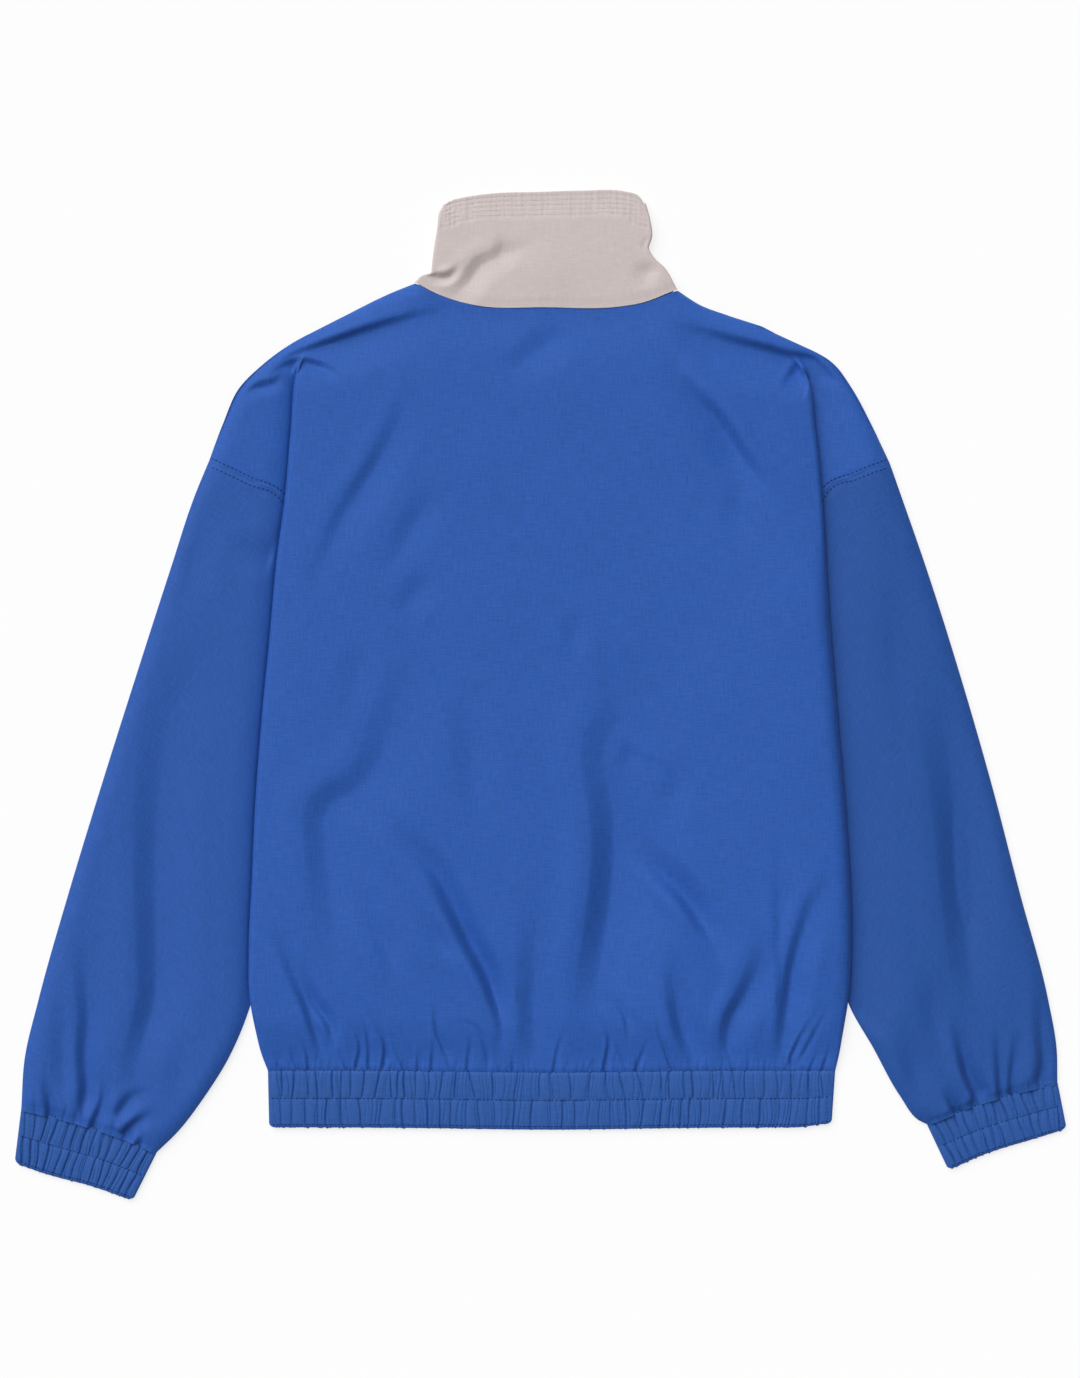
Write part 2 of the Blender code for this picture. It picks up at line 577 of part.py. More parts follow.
def makeBack():
    levels = np.array(backRows, float)
    v = (levels - levels[0]) / (levels[-1] - levels[0])
    strips = {}
    for side in ("left", "right"):
        edges = bodyEdgeX(side, levels)
        strips[side] = np.array([hemStrip(side, edge, y) if row < armpitRow
                                 else tuckStrip(side, edge, y)
                                 for row, (edge, y) in enumerate(zip(edges, levels))])
    left, right = strips["left"], strips["right"][:, ::-1]
    top = np.concatenate([
        shoulderToNeck("left", left[-1, -1, :2]),
        alongCurve(neckBack, np.linspace(0, 1, backColumns - 2 * shoulderColumns + 1))[1:-1],
        shoulderToNeck("right", right[-1, 0, :2])[::-1]])
    bottom = np.column_stack([np.linspace(left[0, -1, 0], right[0, 0, 0], backColumns + 1),
                              np.full(backColumns + 1, hemSeamY)])
    middle = patch(left[:, -1, :2], right[:, 0, :2], bottom, top, v)
    u = np.linspace(0, 1, backColumns + 1)
    sides = left[:, -1, 2:] * (1 - u) + right[:, 0, 2:] * u
    fade = smooth(np.minimum(u, 1 - u), 0, sideShare)
    z = sides * (1 - fade) + backHeight(middle, sideLevel(middle[..., 1])) * fade
    inNeck = ((middle[..., 0] > neckBack[0].x + neckMargin)
              & (middle[..., 0] < neckBack[-1].x - neckMargin))
    near = (1 - smooth(distanceTo(neckBack, middle), 0, neckReach)) * inNeck
    z = z * (1 - near) + neckMid * near
    z = np.maximum(z, lowestBack(middle))
    grid = np.concatenate([left[:, :-1], np.dstack([middle, z]), right[:, 1:]], axis=1)
    # Everything comes down to the shoulder's outline, where the front lies right below.
    xy, low = grid[..., :2], sleeveMid + neckRise(grid[..., :2])
    shoulder = np.minimum(distanceTo(shoulders["left"], xy), distanceTo(shoulders["right"], xy))
    settled = low + (grid[..., 2] - low) * roundEdge(shoulder)
    grid[armpitRow:, :, 2] = np.where(grid[..., 2] > low, settled, grid[..., 2])[armpitRow:]
    keep = np.ones((len(levels) - 1, grid.shape[1] - 1), bool)
    hidden = yokeColumns + turnSteps
    keep[:armpitRow, :hidden] = False
    keep[:armpitRow, -hidden:] = False
    addPanel("back", grid, clothWall, blueBody, 1, False, keep)


# ---- The fronts ----

def makeFront(side):
    sign = outward(side)
    under = [[sign * (sideSeamX(side, y) - 2 * seamGap - armpitEase * smooth(y, *frontEases)), y]
             for y in frontRows]
    edge = np.array(under + armholePoints(side)[underarmStations[::-1]].tolist()[1:])
    steps = np.linalg.norm(np.diff(edge, axis=0), axis=1)
    v = np.concatenate([[0], np.cumsum(steps)]) / steps.sum()
    edgeX = zipX + sign * zipHalfGap
    neck = frontNeck(side, neckColumns, edgeX)
    shoulder = alongCurve(shoulders[side], np.linspace(0, 1, shoulderColumns + 1))
    top = np.concatenate([shoulder, neck[1:]])
    middle = np.column_stack([np.full(len(v), edgeX), hemSeamY + (neck[-1, 1] - hemSeamY) * v])
    bottom = np.column_stack([np.linspace(edge[0, 0], edgeX, len(top)), np.full(len(top), hemSeamY)])
    xy = patch(edge, middle, bottom, top, v, frontBow)
    grid = np.dstack([xy, floorMid + neckRise(xy)])
    addPanel("front_" + side, grid, clothWall, blueBody, sign)


def armholePoints(side):
    # The armhole seam at the rows of the back, from the shoulder to the armpit.
    return seamEnd(side, np.array(backRows[armpitRow:][::-1], float))


def frontNeck(side, count, edgeX, shift=0.0):
    # The lower neck edge, from the shoulder to the zip.
    a, b = shoulders["left"][-1], shoulders["right"][-1]
    reach = (edgeX - a.x) / (b.x - a.x)
    t = np.linspace(0, reach, count) if side == "left" else np.linspace(1, reach, count)
    x = a.x + (b.x - a.x) * t
    y = a.y + (b.y - a.y) * t - frontNeckDrop * np.sin(np.pi * t) + shift
    return np.column_stack([x, y])


# ---- Sleeves and cuffs ----

def sleeveHeight(side, xy, v):
    # Upper wall of a sleeve: pressed flat under the body, full beyond it.
    clear = xy[:, 0] * outward(side) - bodyEdgeX(side, xy[:, 1])
    beside = np.maximum(smooth(clear, *sleeveClear), 1 - smooth(xy[:, 1] - hemSeamY, *belowHem))
    edges = (roundEdge(distanceTo(sleeveOuter[side], xy), sleeveRound)
             * roundEdge(distanceTo(sleeveInner[side], xy), sleeveRound) * beside)
    full = sleevePuff * (1 - cuffPinch * smooth(v, pinchStart, 1)) + foldRelief(sleeveFolds[side], xy)
    gather = gatherHeight * np.cos(np.pi * np.arange(len(xy))) * smooth(v, *sleeveGather)
    return sleeveMid + np.maximum(full + gather, 0) * edges


def makeSleeve(side):
    # Rings round the flattened tube: across the floor, up the outer edge, over, and down
    # the underarm edge. The first ring follows the armhole seam, the last one the cuff's.
    hole = armholePoints(side)
    steps = np.linalg.norm(np.diff(hole, axis=0), axis=1)
    holeShare = np.concatenate([[0], np.cumsum(steps)]) / steps.sum()
    outer, inner = (alongCurve(edge[side], sleeveRings) for edge in (sleeveOuter, sleeveInner))
    bulge, climb = foldArc(turnSteps)
    rings = []
    for v, a, b in zip(sleeveRings, outer, inner):
        edge = turnRadius / np.linalg.norm(b - a)
        over = edge + (1 - 2 * edge) * holeShare
        under = over[underarmStations][::-1]
        share = np.concatenate([under, edge - edge * bulge, over, 1 - edge + edge * bulge])
        f = share[:, None]
        start = np.column_stack([np.interp(share, holeShare, hole[:, k]) for k in (0, 1)])
        startBow = start - (hole[0] * (1 - f) + hole[-1] * f)
        end = alongCurve(cuffSeam[side], share)
        endBow = end - (np.array(cuffSeam[side][0]) * (1 - f) + np.array(cuffSeam[side][-1]) * f)
        gap = np.array([outward(side) * armholeGap.x, armholeGap.y]) * (1 - v) ** gapFade
        xy = a * (1 - f) + b * f + startBow * (1 - v) ** bowFade + endBow * v ** bowFade + gap
        first, last = len(under) + turnSteps - 1, len(under) + turnSteps - 1 + len(over)
        top = sleeveHeight(side, xy[first:last], v)
        z = np.concatenate([np.full(len(under), floorMid), floorMid + (top[0] - floorMid) * climb,
                            top, floorMid + (top[-1] - floorMid) * climb[::-1]])
        rings.append(np.column_stack([xy, z]))
    addPanel("sleeve_" + side, np.array(rings), clothWall, blueBody, outward(side), True)


def foldArc(steps):
    # Inner points of a half turn: how far each stands out, and its share of the climb.
    angles = np.pi * np.arange(1, steps) / steps
    return np.sin(angles), (1 - np.cos(angles)) / 2


# ---- Bands ----

def ribColumns(count, seed):
    # Ribs of uneven width: places from 0 to 1, and each one's share of the rib's height.
    widths = np.random.default_rng(seed).uniform(1 - ribVariety, 1 + ribVariety, count)
    edges = np.concatenate([[0], np.cumsum(widths)]) / widths.sum()
    step = np.arange(ribSteps) / ribSteps
    places = edges[:-1, None] + np.diff(edges)[:, None] * step
    heights = np.tile(np.sin(np.pi * step), count)
    return np.append(places.ravel(), 1), np.append(heights, 0)


def bandHeights(floorCount, climb, gap, ribs):
    # Heights of a band's outer and inner face: on the floor, up the fold, across, and down.
    inside = bandWall + gap
    top = inside + bandWall
    outer = [np.zeros(floorCount), top * climb, top + ribs, top * climb[::-1]]
    inner = [np.full(floorCount, bandWall), bandWall + gap * climb, np.full(len(ribs), inside),
             bandWall + gap * climb[::-1]]
    return outer, inner


def plainStations(firstOver, overCount, columns):
    # The columns of the outer face that the plain inner face uses too.
    over = range(firstOver, firstOver + overCount, plainStep)
    return sorted({*range(firstOver), *over, *range(firstOver + overCount - 1, columns)})


def acrossCuff(side, share, u):
    # Points across a cuff from its outer edge, at a share of its depth.
    return alongCurve(cuffSeam[side], u) * (1 - share) + alongCurve(cuffEnd[side], u) * share


def makeCuff(side):
    # A flattened tube from the sleeve's end to the cuff's own end.
    places, heights = ribColumns(cuffRibs, ribSeeds[side])
    bulge, climb = foldArc(turnSteps)
    floorCount = cuffColumns + 1
    outerGrid, innerGrid = [], []
    for row, full in zip(bandRows, bandFullness):
        share = cuffStart + row * (1 - cuffStart)
        ends = acrossCuff(side, share, np.array([0, 1]))
        width = np.linalg.norm(ends[1] - ends[0])
        edge = (bandWall / 2 + cuffTurn) / width
        under = np.linspace(1 - edge, edge, floorCount)
        over = edge + (1 - 2 * edge) * places
        outerZ, innerZ = bandHeights(floorCount, climb, cuffGap, ribHeight * full * heights)
        for grid, reach, z in ((outerGrid, edge, outerZ), (innerGrid, innerTurn / width, innerZ)):
            u = np.concatenate([under, edge - reach * bulge, over, 1 - edge + reach * bulge])
            grid.append(np.column_stack([acrossCuff(side, share, u), np.concatenate(z)]))
    stations = plainStations(floorCount + len(bulge), len(places), len(outerGrid[0]))
    addRibbedBand("cuff_" + side, np.array(outerGrid), np.array(innerGrid), stations, blueBand, True)


def makeHemBand():
    # From the zip out along one front, round the side, across the back, and back to the zip.
    places, heights = ribColumns(backRibs, ribSeeds["hem"])
    bulge, climb = foldArc(turnSteps + 1)
    floorCount = frontColumns + 1
    edge = bandWall / 2 + hemTurn
    outerGrid, innerGrid = [], []
    for row, full in zip(bandRows, bandFullness):
        y = hemSeamY - seamGap - row * bandDepth
        left = bodySides[0].left + hemTaperLeft * row + bandWall / 2 + edge
        right = bodySides[0].right - hemTaperRight * row - bandWall / 2 - edge
        frontLeft = np.linspace(zipX - zipHalfGap, left, floorCount)
        frontRight = np.linspace(right, zipX + zipHalfGap, floorCount)
        over = left + (right - left) * places
        outerZ, innerZ = bandHeights(floorCount, climb, hemGap, ribHeight * full * heights)
        outerZ.append(np.zeros(floorCount))
        innerZ.append(np.full(floorCount, bandWall))
        for grid, reach, z in ((outerGrid, edge, outerZ), (innerGrid, innerTurn, innerZ)):
            x = np.concatenate([frontLeft, left - reach * bulge, over, right + reach * bulge, frontRight])
            corner = hemCorner * row * smooth(x, right + edge - cornerReach, right + edge)
            grid.append(np.column_stack([x, y + corner, np.concatenate(z)]))
    stations = plainStations(floorCount + len(bulge), len(places), len(outerGrid[0]))
    addRibbedBand("hem_band", np.array(outerGrid), np.array(innerGrid), stations, blueBand, False)


# ---- Collar ----

def makeCollar():
    # Folded flat: the back layer over the two front layers, joined round both sides.
    v = np.linspace(0, 1, collarRows)
    bulge, climb = foldArc(turnSteps)
    left, right = (alongCurve(collarSides[side], v) for side in ("left", "right"))
    edges = {"left": left + [collarTurn, 0], "right": right - [collarTurn, 0]}
    across = np.linspace(0, 1, collarColumns + 1)
    back = patch(edges["left"], edges["right"], alongCurve(neckBack, across) + [0, collarSeamGap],
                 alongCurve(collarTop, across), v, 1)
    # The slider underneath makes a small bump, and the folds fade out at the left side.
    fromBump = ((back[..., 0] - zipX) / sliderBump.x) ** 2 + ((back[..., 1] - bumpY) / sliderBump.y) ** 2
    relief = foldRelief(collarFolds, back)
    relief *= roundEdge(distanceTo(collarSides["left"], back), collarFoldFade)
    height = neckMid + bumpRise * np.exp(-fromBump) + relief
    frontMid = floorMid + neckLift
    fronts = {}
    for side in ("left", "right"):
        edgeX = zipX + outward(side) * zipHalfGap
        low = frontNeck(side, neckColumns, edgeX, collarFrontGap)
        a, b = collarTop[0], collarTop[-1]
        reach = (edgeX - a.x) / (b.x - a.x)
        t = np.linspace(0 if side == "left" else 1, reach, neckColumns)
        dip = collarFrontDip * np.sin(np.pi * t) ** frontDipShape
        high = np.column_stack([a.x + (b.x - a.x) * t, a.y + (b.y - a.y) * t - dip])
        zipEdge = np.column_stack([np.full(collarRows, edgeX),
                                   np.linspace(low[-1, 1], high[-1, 1], collarRows)])
        xy = patch(edges[side], zipEdge, low, high, v, 1)
        fronts[side] = np.dstack([xy, np.full(xy.shape[:2], frontMid)])
    rise = np.broadcast_to(frontMid + (neckMid - frontMid) * climb, (collarRows, len(climb)))
    level = np.broadcast_to(left[:, 1:], rise.shape)
    leftFold = np.dstack([edges["left"][:, :1] - collarTurn * bulge, level, rise])
    level = np.broadcast_to(right[:, 1:], rise.shape)
    rightFold = np.dstack([edges["right"][:, :1] + collarTurn * bulge, level, rise])[:, ::-1]
    grid = np.concatenate([fronts["left"][:, ::-1], leftFold, np.dstack([back, height]), rightFold,
                           fronts["right"]], 1)
    addPanel("collar", grid, bandWall, greyCollar)


# ---- Zip ----

def tapeMid(y):
    neckY = shoulders["left"][-1].y - frontNeckDrop
    return bodyTapeMid + (collarTapeMid - bodyTapeMid) * smooth(y - neckY, *tapeRises)


def makeTape(side):
    # A flat tape with half of the coil along its inner edge.
    coilOut = coilGap + coilWidth
    profile = [(coilGap, -coilHeight / 2), (coilOut, -coilHeight / 2), (coilOut, -tapeWall / 2),
               (tapeWidth, -tapeWall / 2), (tapeWidth, tapeWall / 2), (coilOut, tapeWall / 2),
               (coilOut, coilHeight / 2), (coilGap, coilHeight / 2)]
    points = [(zipX + outward(side) * x, y, tapeMid(y) + z) for y in tapeRows for x, z in profile]
    count = len(profile)
    faces = [list(range(count))[::-1], [(len(tapeRows) - 1) * count + k for k in range(count)]]
    for i in range(len(tapeRows) - 1):
        for k in range(count):
            a, b = i * count + k, i * count + (k + 1) % count
            faces.append([a, b, b + count, a + count])
    addObject("zip_tape_" + side, points, faces, blueTape, tapeRough)


def prism(name, outline, axis, low, high, colour=gunMetal, origin=(0, 0, 0)):
    # An outline carried along one axis. The outline's two values are the other axes in order.
    count = len(outline)
    points = [list(p[:axis]) + [level] + list(p[axis:]) for level in (low, high) for p in outline]
    faces = [list(range(count))[::-1], list(range(count, 2 * count))]
    faces += [[k, (k + 1) % count, count + (k + 1) % count, count + k] for k in range(count)]
    return addObject(name, points, faces, colour, metalRough, 1.0, origin)


def rectangle(x0, x1, y0, y1):
    return [(x0, y0), (x1, y0), (x1, y1), (x0, y1)]


def join(base, others, operation="UNION"):
    for other in others:
        other.hide_render = True
        other.display_type = "WIRE"
        step = base.modifiers.new(other.name, "BOOLEAN")
        step.operation = operation
        step.object = other


def makeSlider():
    # Two plates round the coil with turned-in flanges, a post between the tapes at the
    # upper end, and an arch below the lower plate that carries the pull tab.
    gapLow, gapHigh = (collarTapeMid + way * (tapeWall / 2 + flangeLip) for way in (-1, 1))
    inner = sliderHalf - sliderFlange
    lower = [(-sliderHalf, plateLow), (sliderHalf, plateLow), (sliderHalf, gapLow), (inner, gapLow),
             (inner, plateLow + plateWall), (-inner, plateLow + plateWall), (-inner, gapLow),
             (-sliderHalf, gapLow)]
    upper = [(-sliderHalf, plateHigh), (-sliderHalf, gapHigh), (-inner, gapHigh),
             (-inner, plateHigh - plateWall), (inner, plateHigh - plateWall), (inner, gapHigh),
             (sliderHalf, gapHigh), (sliderHalf, plateHigh)]
    base, cover = (prism(name, [(zipX + x, z) for x, z in outline], 1, sliderBottom, sliderTop)
                   for name, outline in (("zip_slider", lower), ("slider_cover", upper)))
    between = rectangle(zipX - postHalf, zipX + postHalf, plateLow + postSunk, plateHigh - postSunk)
    post = prism("slider_post", between, 1, sliderTop - postStart, sliderTop - postEnd)
    near, far = pullAxisY - archBefore, pullAxisY + archAfter
    legs, root = archRoom, plateLow + archSunk
    arch = [(near, 0), (far, 0), (far, root), (far - archWall, root), (far - archWall, legs),
            (near + archWall, legs), (near + archWall, root), (near, root)]
    bail = prism("slider_arch", arch, 0, zipX - archHalf, zipX + archHalf)
    join(base, [cover, post, bail])


def makePull():
    # A flat tab with a window at its upper end: the bar across the window's end is the pivot.
    half, top, foot = pullWidth / 2, pullAxisY + pullBar, pullAxisY - pullLength
    turn = np.linspace(0, np.pi / 2, cornerPoints)
    side, end = half - pullCorner, foot + pullCorner
    outline = [(-half + pullChamfer, top), (-half, top - pullChamfer)]
    outline += [(-side - pullCorner * math.cos(a), end - pullCorner * math.sin(a)) for a in turn]
    outline += [(side + pullCorner * math.sin(a), end - pullCorner * math.cos(a)) for a in turn]
    outline += [(half, top - pullChamfer), (half - pullChamfer, top)]
    tab = prism("zip_pull", [(zipX + x, y) for x, y in outline], 2, pullAxisZ - pullWall / 2,
                pullAxisZ + pullWall / 2, origin=(zipX, pullAxisY, pullAxisZ))
    hole = rectangle(zipX - windowWidth / 2, zipX + windowWidth / 2,
                     pullAxisY - pullBar - windowLength, pullAxisY - pullBar)
    window = prism("pull_window", hole, 2, pullAxisZ - 2 * pullWall, pullAxisZ + 2 * pullWall)
    join(tab, [window], "DIFFERENCE")


def makeZipBox():
    outline = rectangle(zipX - zipBoxHalf, zipX + zipBoxHalf, zipBoxBottom, zipBoxTop)
    prism("zip_box", outline, 2, zipBoxLow, zipBoxHigh)


def build():
    for old in list(bpy.data.objects):
        bpy.data.objects.remove(old, do_unlink=True)
    makeBack()
    makeHemBand()
    makeCollar()
    for side in ("left", "right"):
        makeFront(side)
        makeSleeve(side)
        makeCuff(side)
        makeTape(side)
    makeZipBox()
    makeSlider()
    makePull()


build()
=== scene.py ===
import math

import bpy
import numpy as np
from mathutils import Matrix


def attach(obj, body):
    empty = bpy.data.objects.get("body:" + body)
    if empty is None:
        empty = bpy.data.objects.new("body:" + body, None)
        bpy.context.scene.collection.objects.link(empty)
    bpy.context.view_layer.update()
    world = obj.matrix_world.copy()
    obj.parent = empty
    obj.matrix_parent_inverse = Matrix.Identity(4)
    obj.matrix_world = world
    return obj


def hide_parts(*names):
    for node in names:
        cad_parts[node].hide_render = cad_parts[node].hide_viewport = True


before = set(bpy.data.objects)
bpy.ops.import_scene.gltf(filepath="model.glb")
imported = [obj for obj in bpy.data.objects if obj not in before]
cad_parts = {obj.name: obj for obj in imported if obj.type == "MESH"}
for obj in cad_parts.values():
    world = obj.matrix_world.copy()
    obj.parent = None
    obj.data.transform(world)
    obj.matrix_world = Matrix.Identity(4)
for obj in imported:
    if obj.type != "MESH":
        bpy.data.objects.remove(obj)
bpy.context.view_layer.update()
print("frame loaded")

# The jacket lies on its front, back upward. Left and right are the wearer's, which are
# those of the picture too. Tables are in millimetres, lines of creases in photo pixels.
mm = 0.001
photo = {"millimetresPerPixel": 0.82, "originX": 540, "originY": 696}


# ---- curves and fields ----

def fromPhoto(pixels):
    # x grows to the right and y upward from the pixel over the origin
    pixels = np.asarray(pixels, float)
    scale = photo["millimetresPerPixel"]
    return np.column_stack([(pixels[:, 0] - photo["originX"]) * scale,
                            (photo["originY"] - pixels[:, 1]) * scale])


def glide(knots, values, at):
    # cubic pieces through a table, with slopes from neighbouring differences
    knots, values, at = np.asarray(knots, float), np.asarray(values, float), np.asarray(at, float)
    slopes = np.gradient(values, knots, axis=0)
    piece = np.clip(np.searchsorted(knots, at, side="right") - 1, 0, len(knots) - 2)
    span = knots[piece + 1] - knots[piece]
    f = (at - knots[piece]) / span
    if values.ndim > 1:
        f, span = f[..., None], span[..., None]
    return ((1 + 2 * f) * (1 - f) ** 2 * values[piece] + f * (1 - f) ** 2 * span * slopes[piece]
            + f * f * (3 - 2 * f) * values[piece + 1] - f * f * (1 - f) * span * slopes[piece + 1])


def lengthAlong(points):
    # the length of the steps from the first point to each one
    steps = np.linalg.norm(np.diff(points, axis=0), axis=1)
    return np.concatenate([[0], np.cumsum(steps)])


def alongCurve(points, t):
    # the curve through the points, read at t from 0 to 1 of its length
    points = np.asarray(points, float)
    length = lengthAlong(points)
    return glide(length / length[-1], points, t)


def smooth(value, low, high):
    # 0 below low, 1 above high, and the S-curve 3f^2 - 2f^3 between
    f = np.clip((value - low) / (high - low), 0, 1)
    return f * f * (3 - 2 * f)


def roundEdge(distance, reach):
    # quarter of an ellipse: 0 at the edge, 1 from reach on
    return np.sqrt(1 - (1 - np.clip(distance / reach, 0, 1)) ** 2)


def toCurve(curve, xy):
    # for each point the distance to the curve's nearest piece, the side that it is on
    # (+1 left of the way the curve runs) and the share of the curve's length there
    start, step = curve[:-1], np.diff(curve, axis=0)
    off = xy[..., None, :] - start
    t = np.clip((off * step).sum(-1) / (step * step).sum(-1), 0, 1)
    gap = np.linalg.norm(off - t[..., None] * step, axis=-1)
    nearest = gap.argmin(-1)[..., None]
    side = np.take_along_axis(step[:, 0] * off[..., 1] - step[:, 1] * off[..., 0], nearest, -1)[..., 0]
    share = (nearest[..., 0] + np.take_along_axis(t, nearest, -1)[..., 0]) / len(step)
    return gap.min(-1), np.where(side < 0, -1, 1), share


def distanceTo(points, xy):
    # how far each place is from the curve through the points
    return toCurve(alongCurve(points, np.linspace(0, 1, 60)), xy)[0]


creaseShape = {"samples": 25, "curved": 0.4, "climbFrom": 0.6, "roll": 0.25, "rollWidth": 1.4}


def creaseRelief(creases, xy):
    # Across each crease the cloth falls along a nearly straight slope centred on the line,
    # and climbs back over a longer one; before it there is a low Gaussian roll. It is deepest
    # at its peak.
    relief = np.zeros(xy.shape[:-1])
    for points, fall, rise, depth, peak, narrow in creases:
        line = alongCurve(fromPhoto(points), np.linspace(0, 1, creaseShape["samples"]))
        reach = max(4 * fall, fall + rise)
        near = ((xy > line.min(0) - reach) & (xy < line.max(0) + reach)).all(-1)
        gap, side, share = toCurve(line, xy[near])
        gap = gap * side
        width = fall * (1 + (narrow - 1) * share)
        before = smooth(share, 0, max(peak, 0.01))
        after = 1 - smooth(share, min(peak, 0.99), 1) * (peak < 1)
        straight = np.clip(gap / (2 * width) + 0.5, 0, 1)
        slope = straight + creaseShape["curved"] * (smooth(gap, -width, width) - straight)
        drop = slope * (1 - smooth(gap, creaseShape["climbFrom"] * width, width + rise))
        roll = creaseShape["roll"] * np.exp(-((gap + 2 * width) / (creaseShape["rollWidth"] * width)) ** 2)
        relief[near] -= depth * before * after * (drop - roll)
    return relief


def unevenness(xy, length, seed):
    # a sum of eight plane waves of about the given wavelength, in all directions
    rng = np.random.default_rng(seed)
    total = np.zeros(xy.shape[:-1])
    for turn in np.arange(8) * math.pi / 8 + rng.uniform(0, 0.4, 8):
        wave = 2 * math.pi / (length * rng.uniform(0.7, 1.5))
        total += np.sin(wave * (xy[..., 0] * math.cos(turn) + xy[..., 1] * math.sin(turn))
                        + rng.uniform(0, 2 * math.pi))
    return total / 8


def grooves(across, along, look, seed):
    # Narrow pleats side by side: Gaussian grooves of uneven pitch, depth, slant and reach.
    # across is in millimetres; along runs from 0 at the seam, where they are deepest.
    rng = np.random.default_rng(seed)
    low, high = across.min(), across.max()
    count = int((high - low) / look["pitch"] * 1.6)
    places = low + np.cumsum(look["pitch"] * rng.uniform(0.45, 1.55, count))
    depths = look["depth"] * rng.uniform(0.25, 1.25, count)
    slants = rng.normal(0, look["slant"], count)
    reaches = look["reach"] * rng.uniform(0.45, 1.3, count)
    total = np.zeros(across.shape)
    for place, depth, slant, reach in zip(places, depths, slants, reaches):
        if place < high:
            fade = 1 - smooth(along, 0.4 * reach, reach)
            total -= depth * fade * np.exp(-((across - place - slant * along) / look["width"]) ** 2)
    return total


def patch(left, right, bottom, top, v, reach=3):
    # A grid between four edges: straight across between the sides, plus the bow of the
    # bottom and top edges, which fades out over the rows.
    u = np.linspace(0, 1, bottom.shape[0])[None, :, None]
    rows = v[:, None, None]
    sides = left[:, None] * (1 - u) + right[:, None] * u
    bowLow = bottom[None] - (bottom[0] * (1 - u) + bottom[-1] * u)
    bowHigh = top[None] - (top[0] * (1 - u) + top[-1] * u)
    return sides + bowLow * (1 - rows) ** reach + bowHigh * rows ** reach


# ---- meshes ----

def headings(grid, axis, closed):
    # unit directions along one axis of a grid, averaged over the two edges at each point
    if closed:
        steps = np.roll(grid, -1, axis) - grid
        steps = steps / (np.linalg.norm(steps, axis=-1, keepdims=True) + 1e-9)
        return steps + np.roll(steps, 1, axis)
    steps = np.diff(grid, axis=axis)
    steps = steps / (np.linalg.norm(steps, axis=-1, keepdims=True) + 1e-9)
    first, last = np.take(steps, [0], axis), np.take(steps, [-1], axis)
    return np.concatenate([first, steps], axis) + np.concatenate([steps, last], axis)


def normalsOf(grid, ring=False):
    # unit cross product of the grid's two directions at each point
    across = np.cross(headings(grid, 1, ring), headings(grid, 0, False))
    return across / (np.linalg.norm(across, axis=-1, keepdims=True) + 1e-9)


def upward(grid):
    # normals of an upper wall, all with z above 0
    normals = normalsOf(grid)
    return normals * np.where(normals[..., 2:] < 0, -1, 1)


def rolled(grid, column, radius, ring=False):
    # The last row carried on round a small half circle, out along the cloth and back under
    # it: place = edge + out * radius * sin(a) - normal * radius * (1 - cos(a)). Normals
    # point up where the given column of the upper wall has its middle.
    normals = normalsOf(grid, ring)
    down = -normals[-1] * np.sign(normals[len(grid) // 2, column, 2])
    out = grid[-1] - grid[-3]
    out = out / (np.linalg.norm(out, axis=-1, keepdims=True) + 1e-9)
    turn = np.linspace(0, math.pi, 6)[1:, None, None]
    curl = grid[-1] + out * radius * np.sin(turn) + down * radius * (1 - np.cos(turn))
    inside = curl[-1:] - out * 4
    return np.concatenate([grid, curl, inside])


def halfTurn(look):
    # points on a half circle between two layers: how far each one is out, and how far up
    angles = np.pi * np.arange(1, look["turnColumns"]) / look["turnColumns"]
    return np.sin(angles), (1 - np.cos(angles)) / 2


def upAndOver(floor, top, look):
    # heights of an upper wall, with a half turn from the floor at either side
    climb = halfTurn(look)[1]
    return [floor + (top[:, :1] - floor) * climb, top, floor + (top[:, -1:] - floor) * climb[::-1]]


def tubeShares(look, width):
    # Shares of a flattened tube's width: back along the underside, round the outer edge,
    # over the top and round the underarm edge.
    edge = look["turn"] / width
    bulge = halfTurn(look)[0]
    under, over = (edge + (1 - 2 * edge) * np.linspace(0, 1, look[key])
                   for key in ("underColumns", "columns"))
    return np.concatenate([under[:, ::-1], edge - edge * bulge, over, 1 - edge + edge * bulge], 1)


def upperColumns(look, key):
    # the columns of the upper wall, behind those of the lower one and of a half turn
    first = look[key] + look["turnColumns"] - 1
    return slice(first, first + look["columns"])


def tubeUv(shares, width, look, v):
    # metres of cloth round the tube, and along it
    count = look["underColumns"]
    around = np.concatenate([-shares[:, :count], shares[:, count:], 2 - shares[:, :1]], 1) * width * mm
    around = around[np.minimum(np.arange(len(v)), len(around) - 1)]
    return np.dstack([around, np.broadcast_to(v, around.shape)])


def bandUv(grid, step):
    # metres of cloth along the first row, and a fixed step for each row
    return np.dstack(np.broadcast_arrays(lengthAlong(grid[0]), np.arange(len(grid))[:, None] * step)) * mm


def addPiece(name, points, faces, material, uv=None):
    # an object at the origin, from points in millimetres
    mesh = bpy.data.meshes.new(name)
    mesh.from_pydata((points * mm).tolist(), [], faces)
    if uv is not None:
        mesh.uv_layers.new(name="cloth").data.foreach_set("uv", uv.astype(np.float32).ravel())
    mesh.shade_smooth()
    mesh.materials.append(material)
    piece = bpy.data.objects.new(name, mesh)
    bpy.context.scene.collection.objects.link(piece)
    return piece


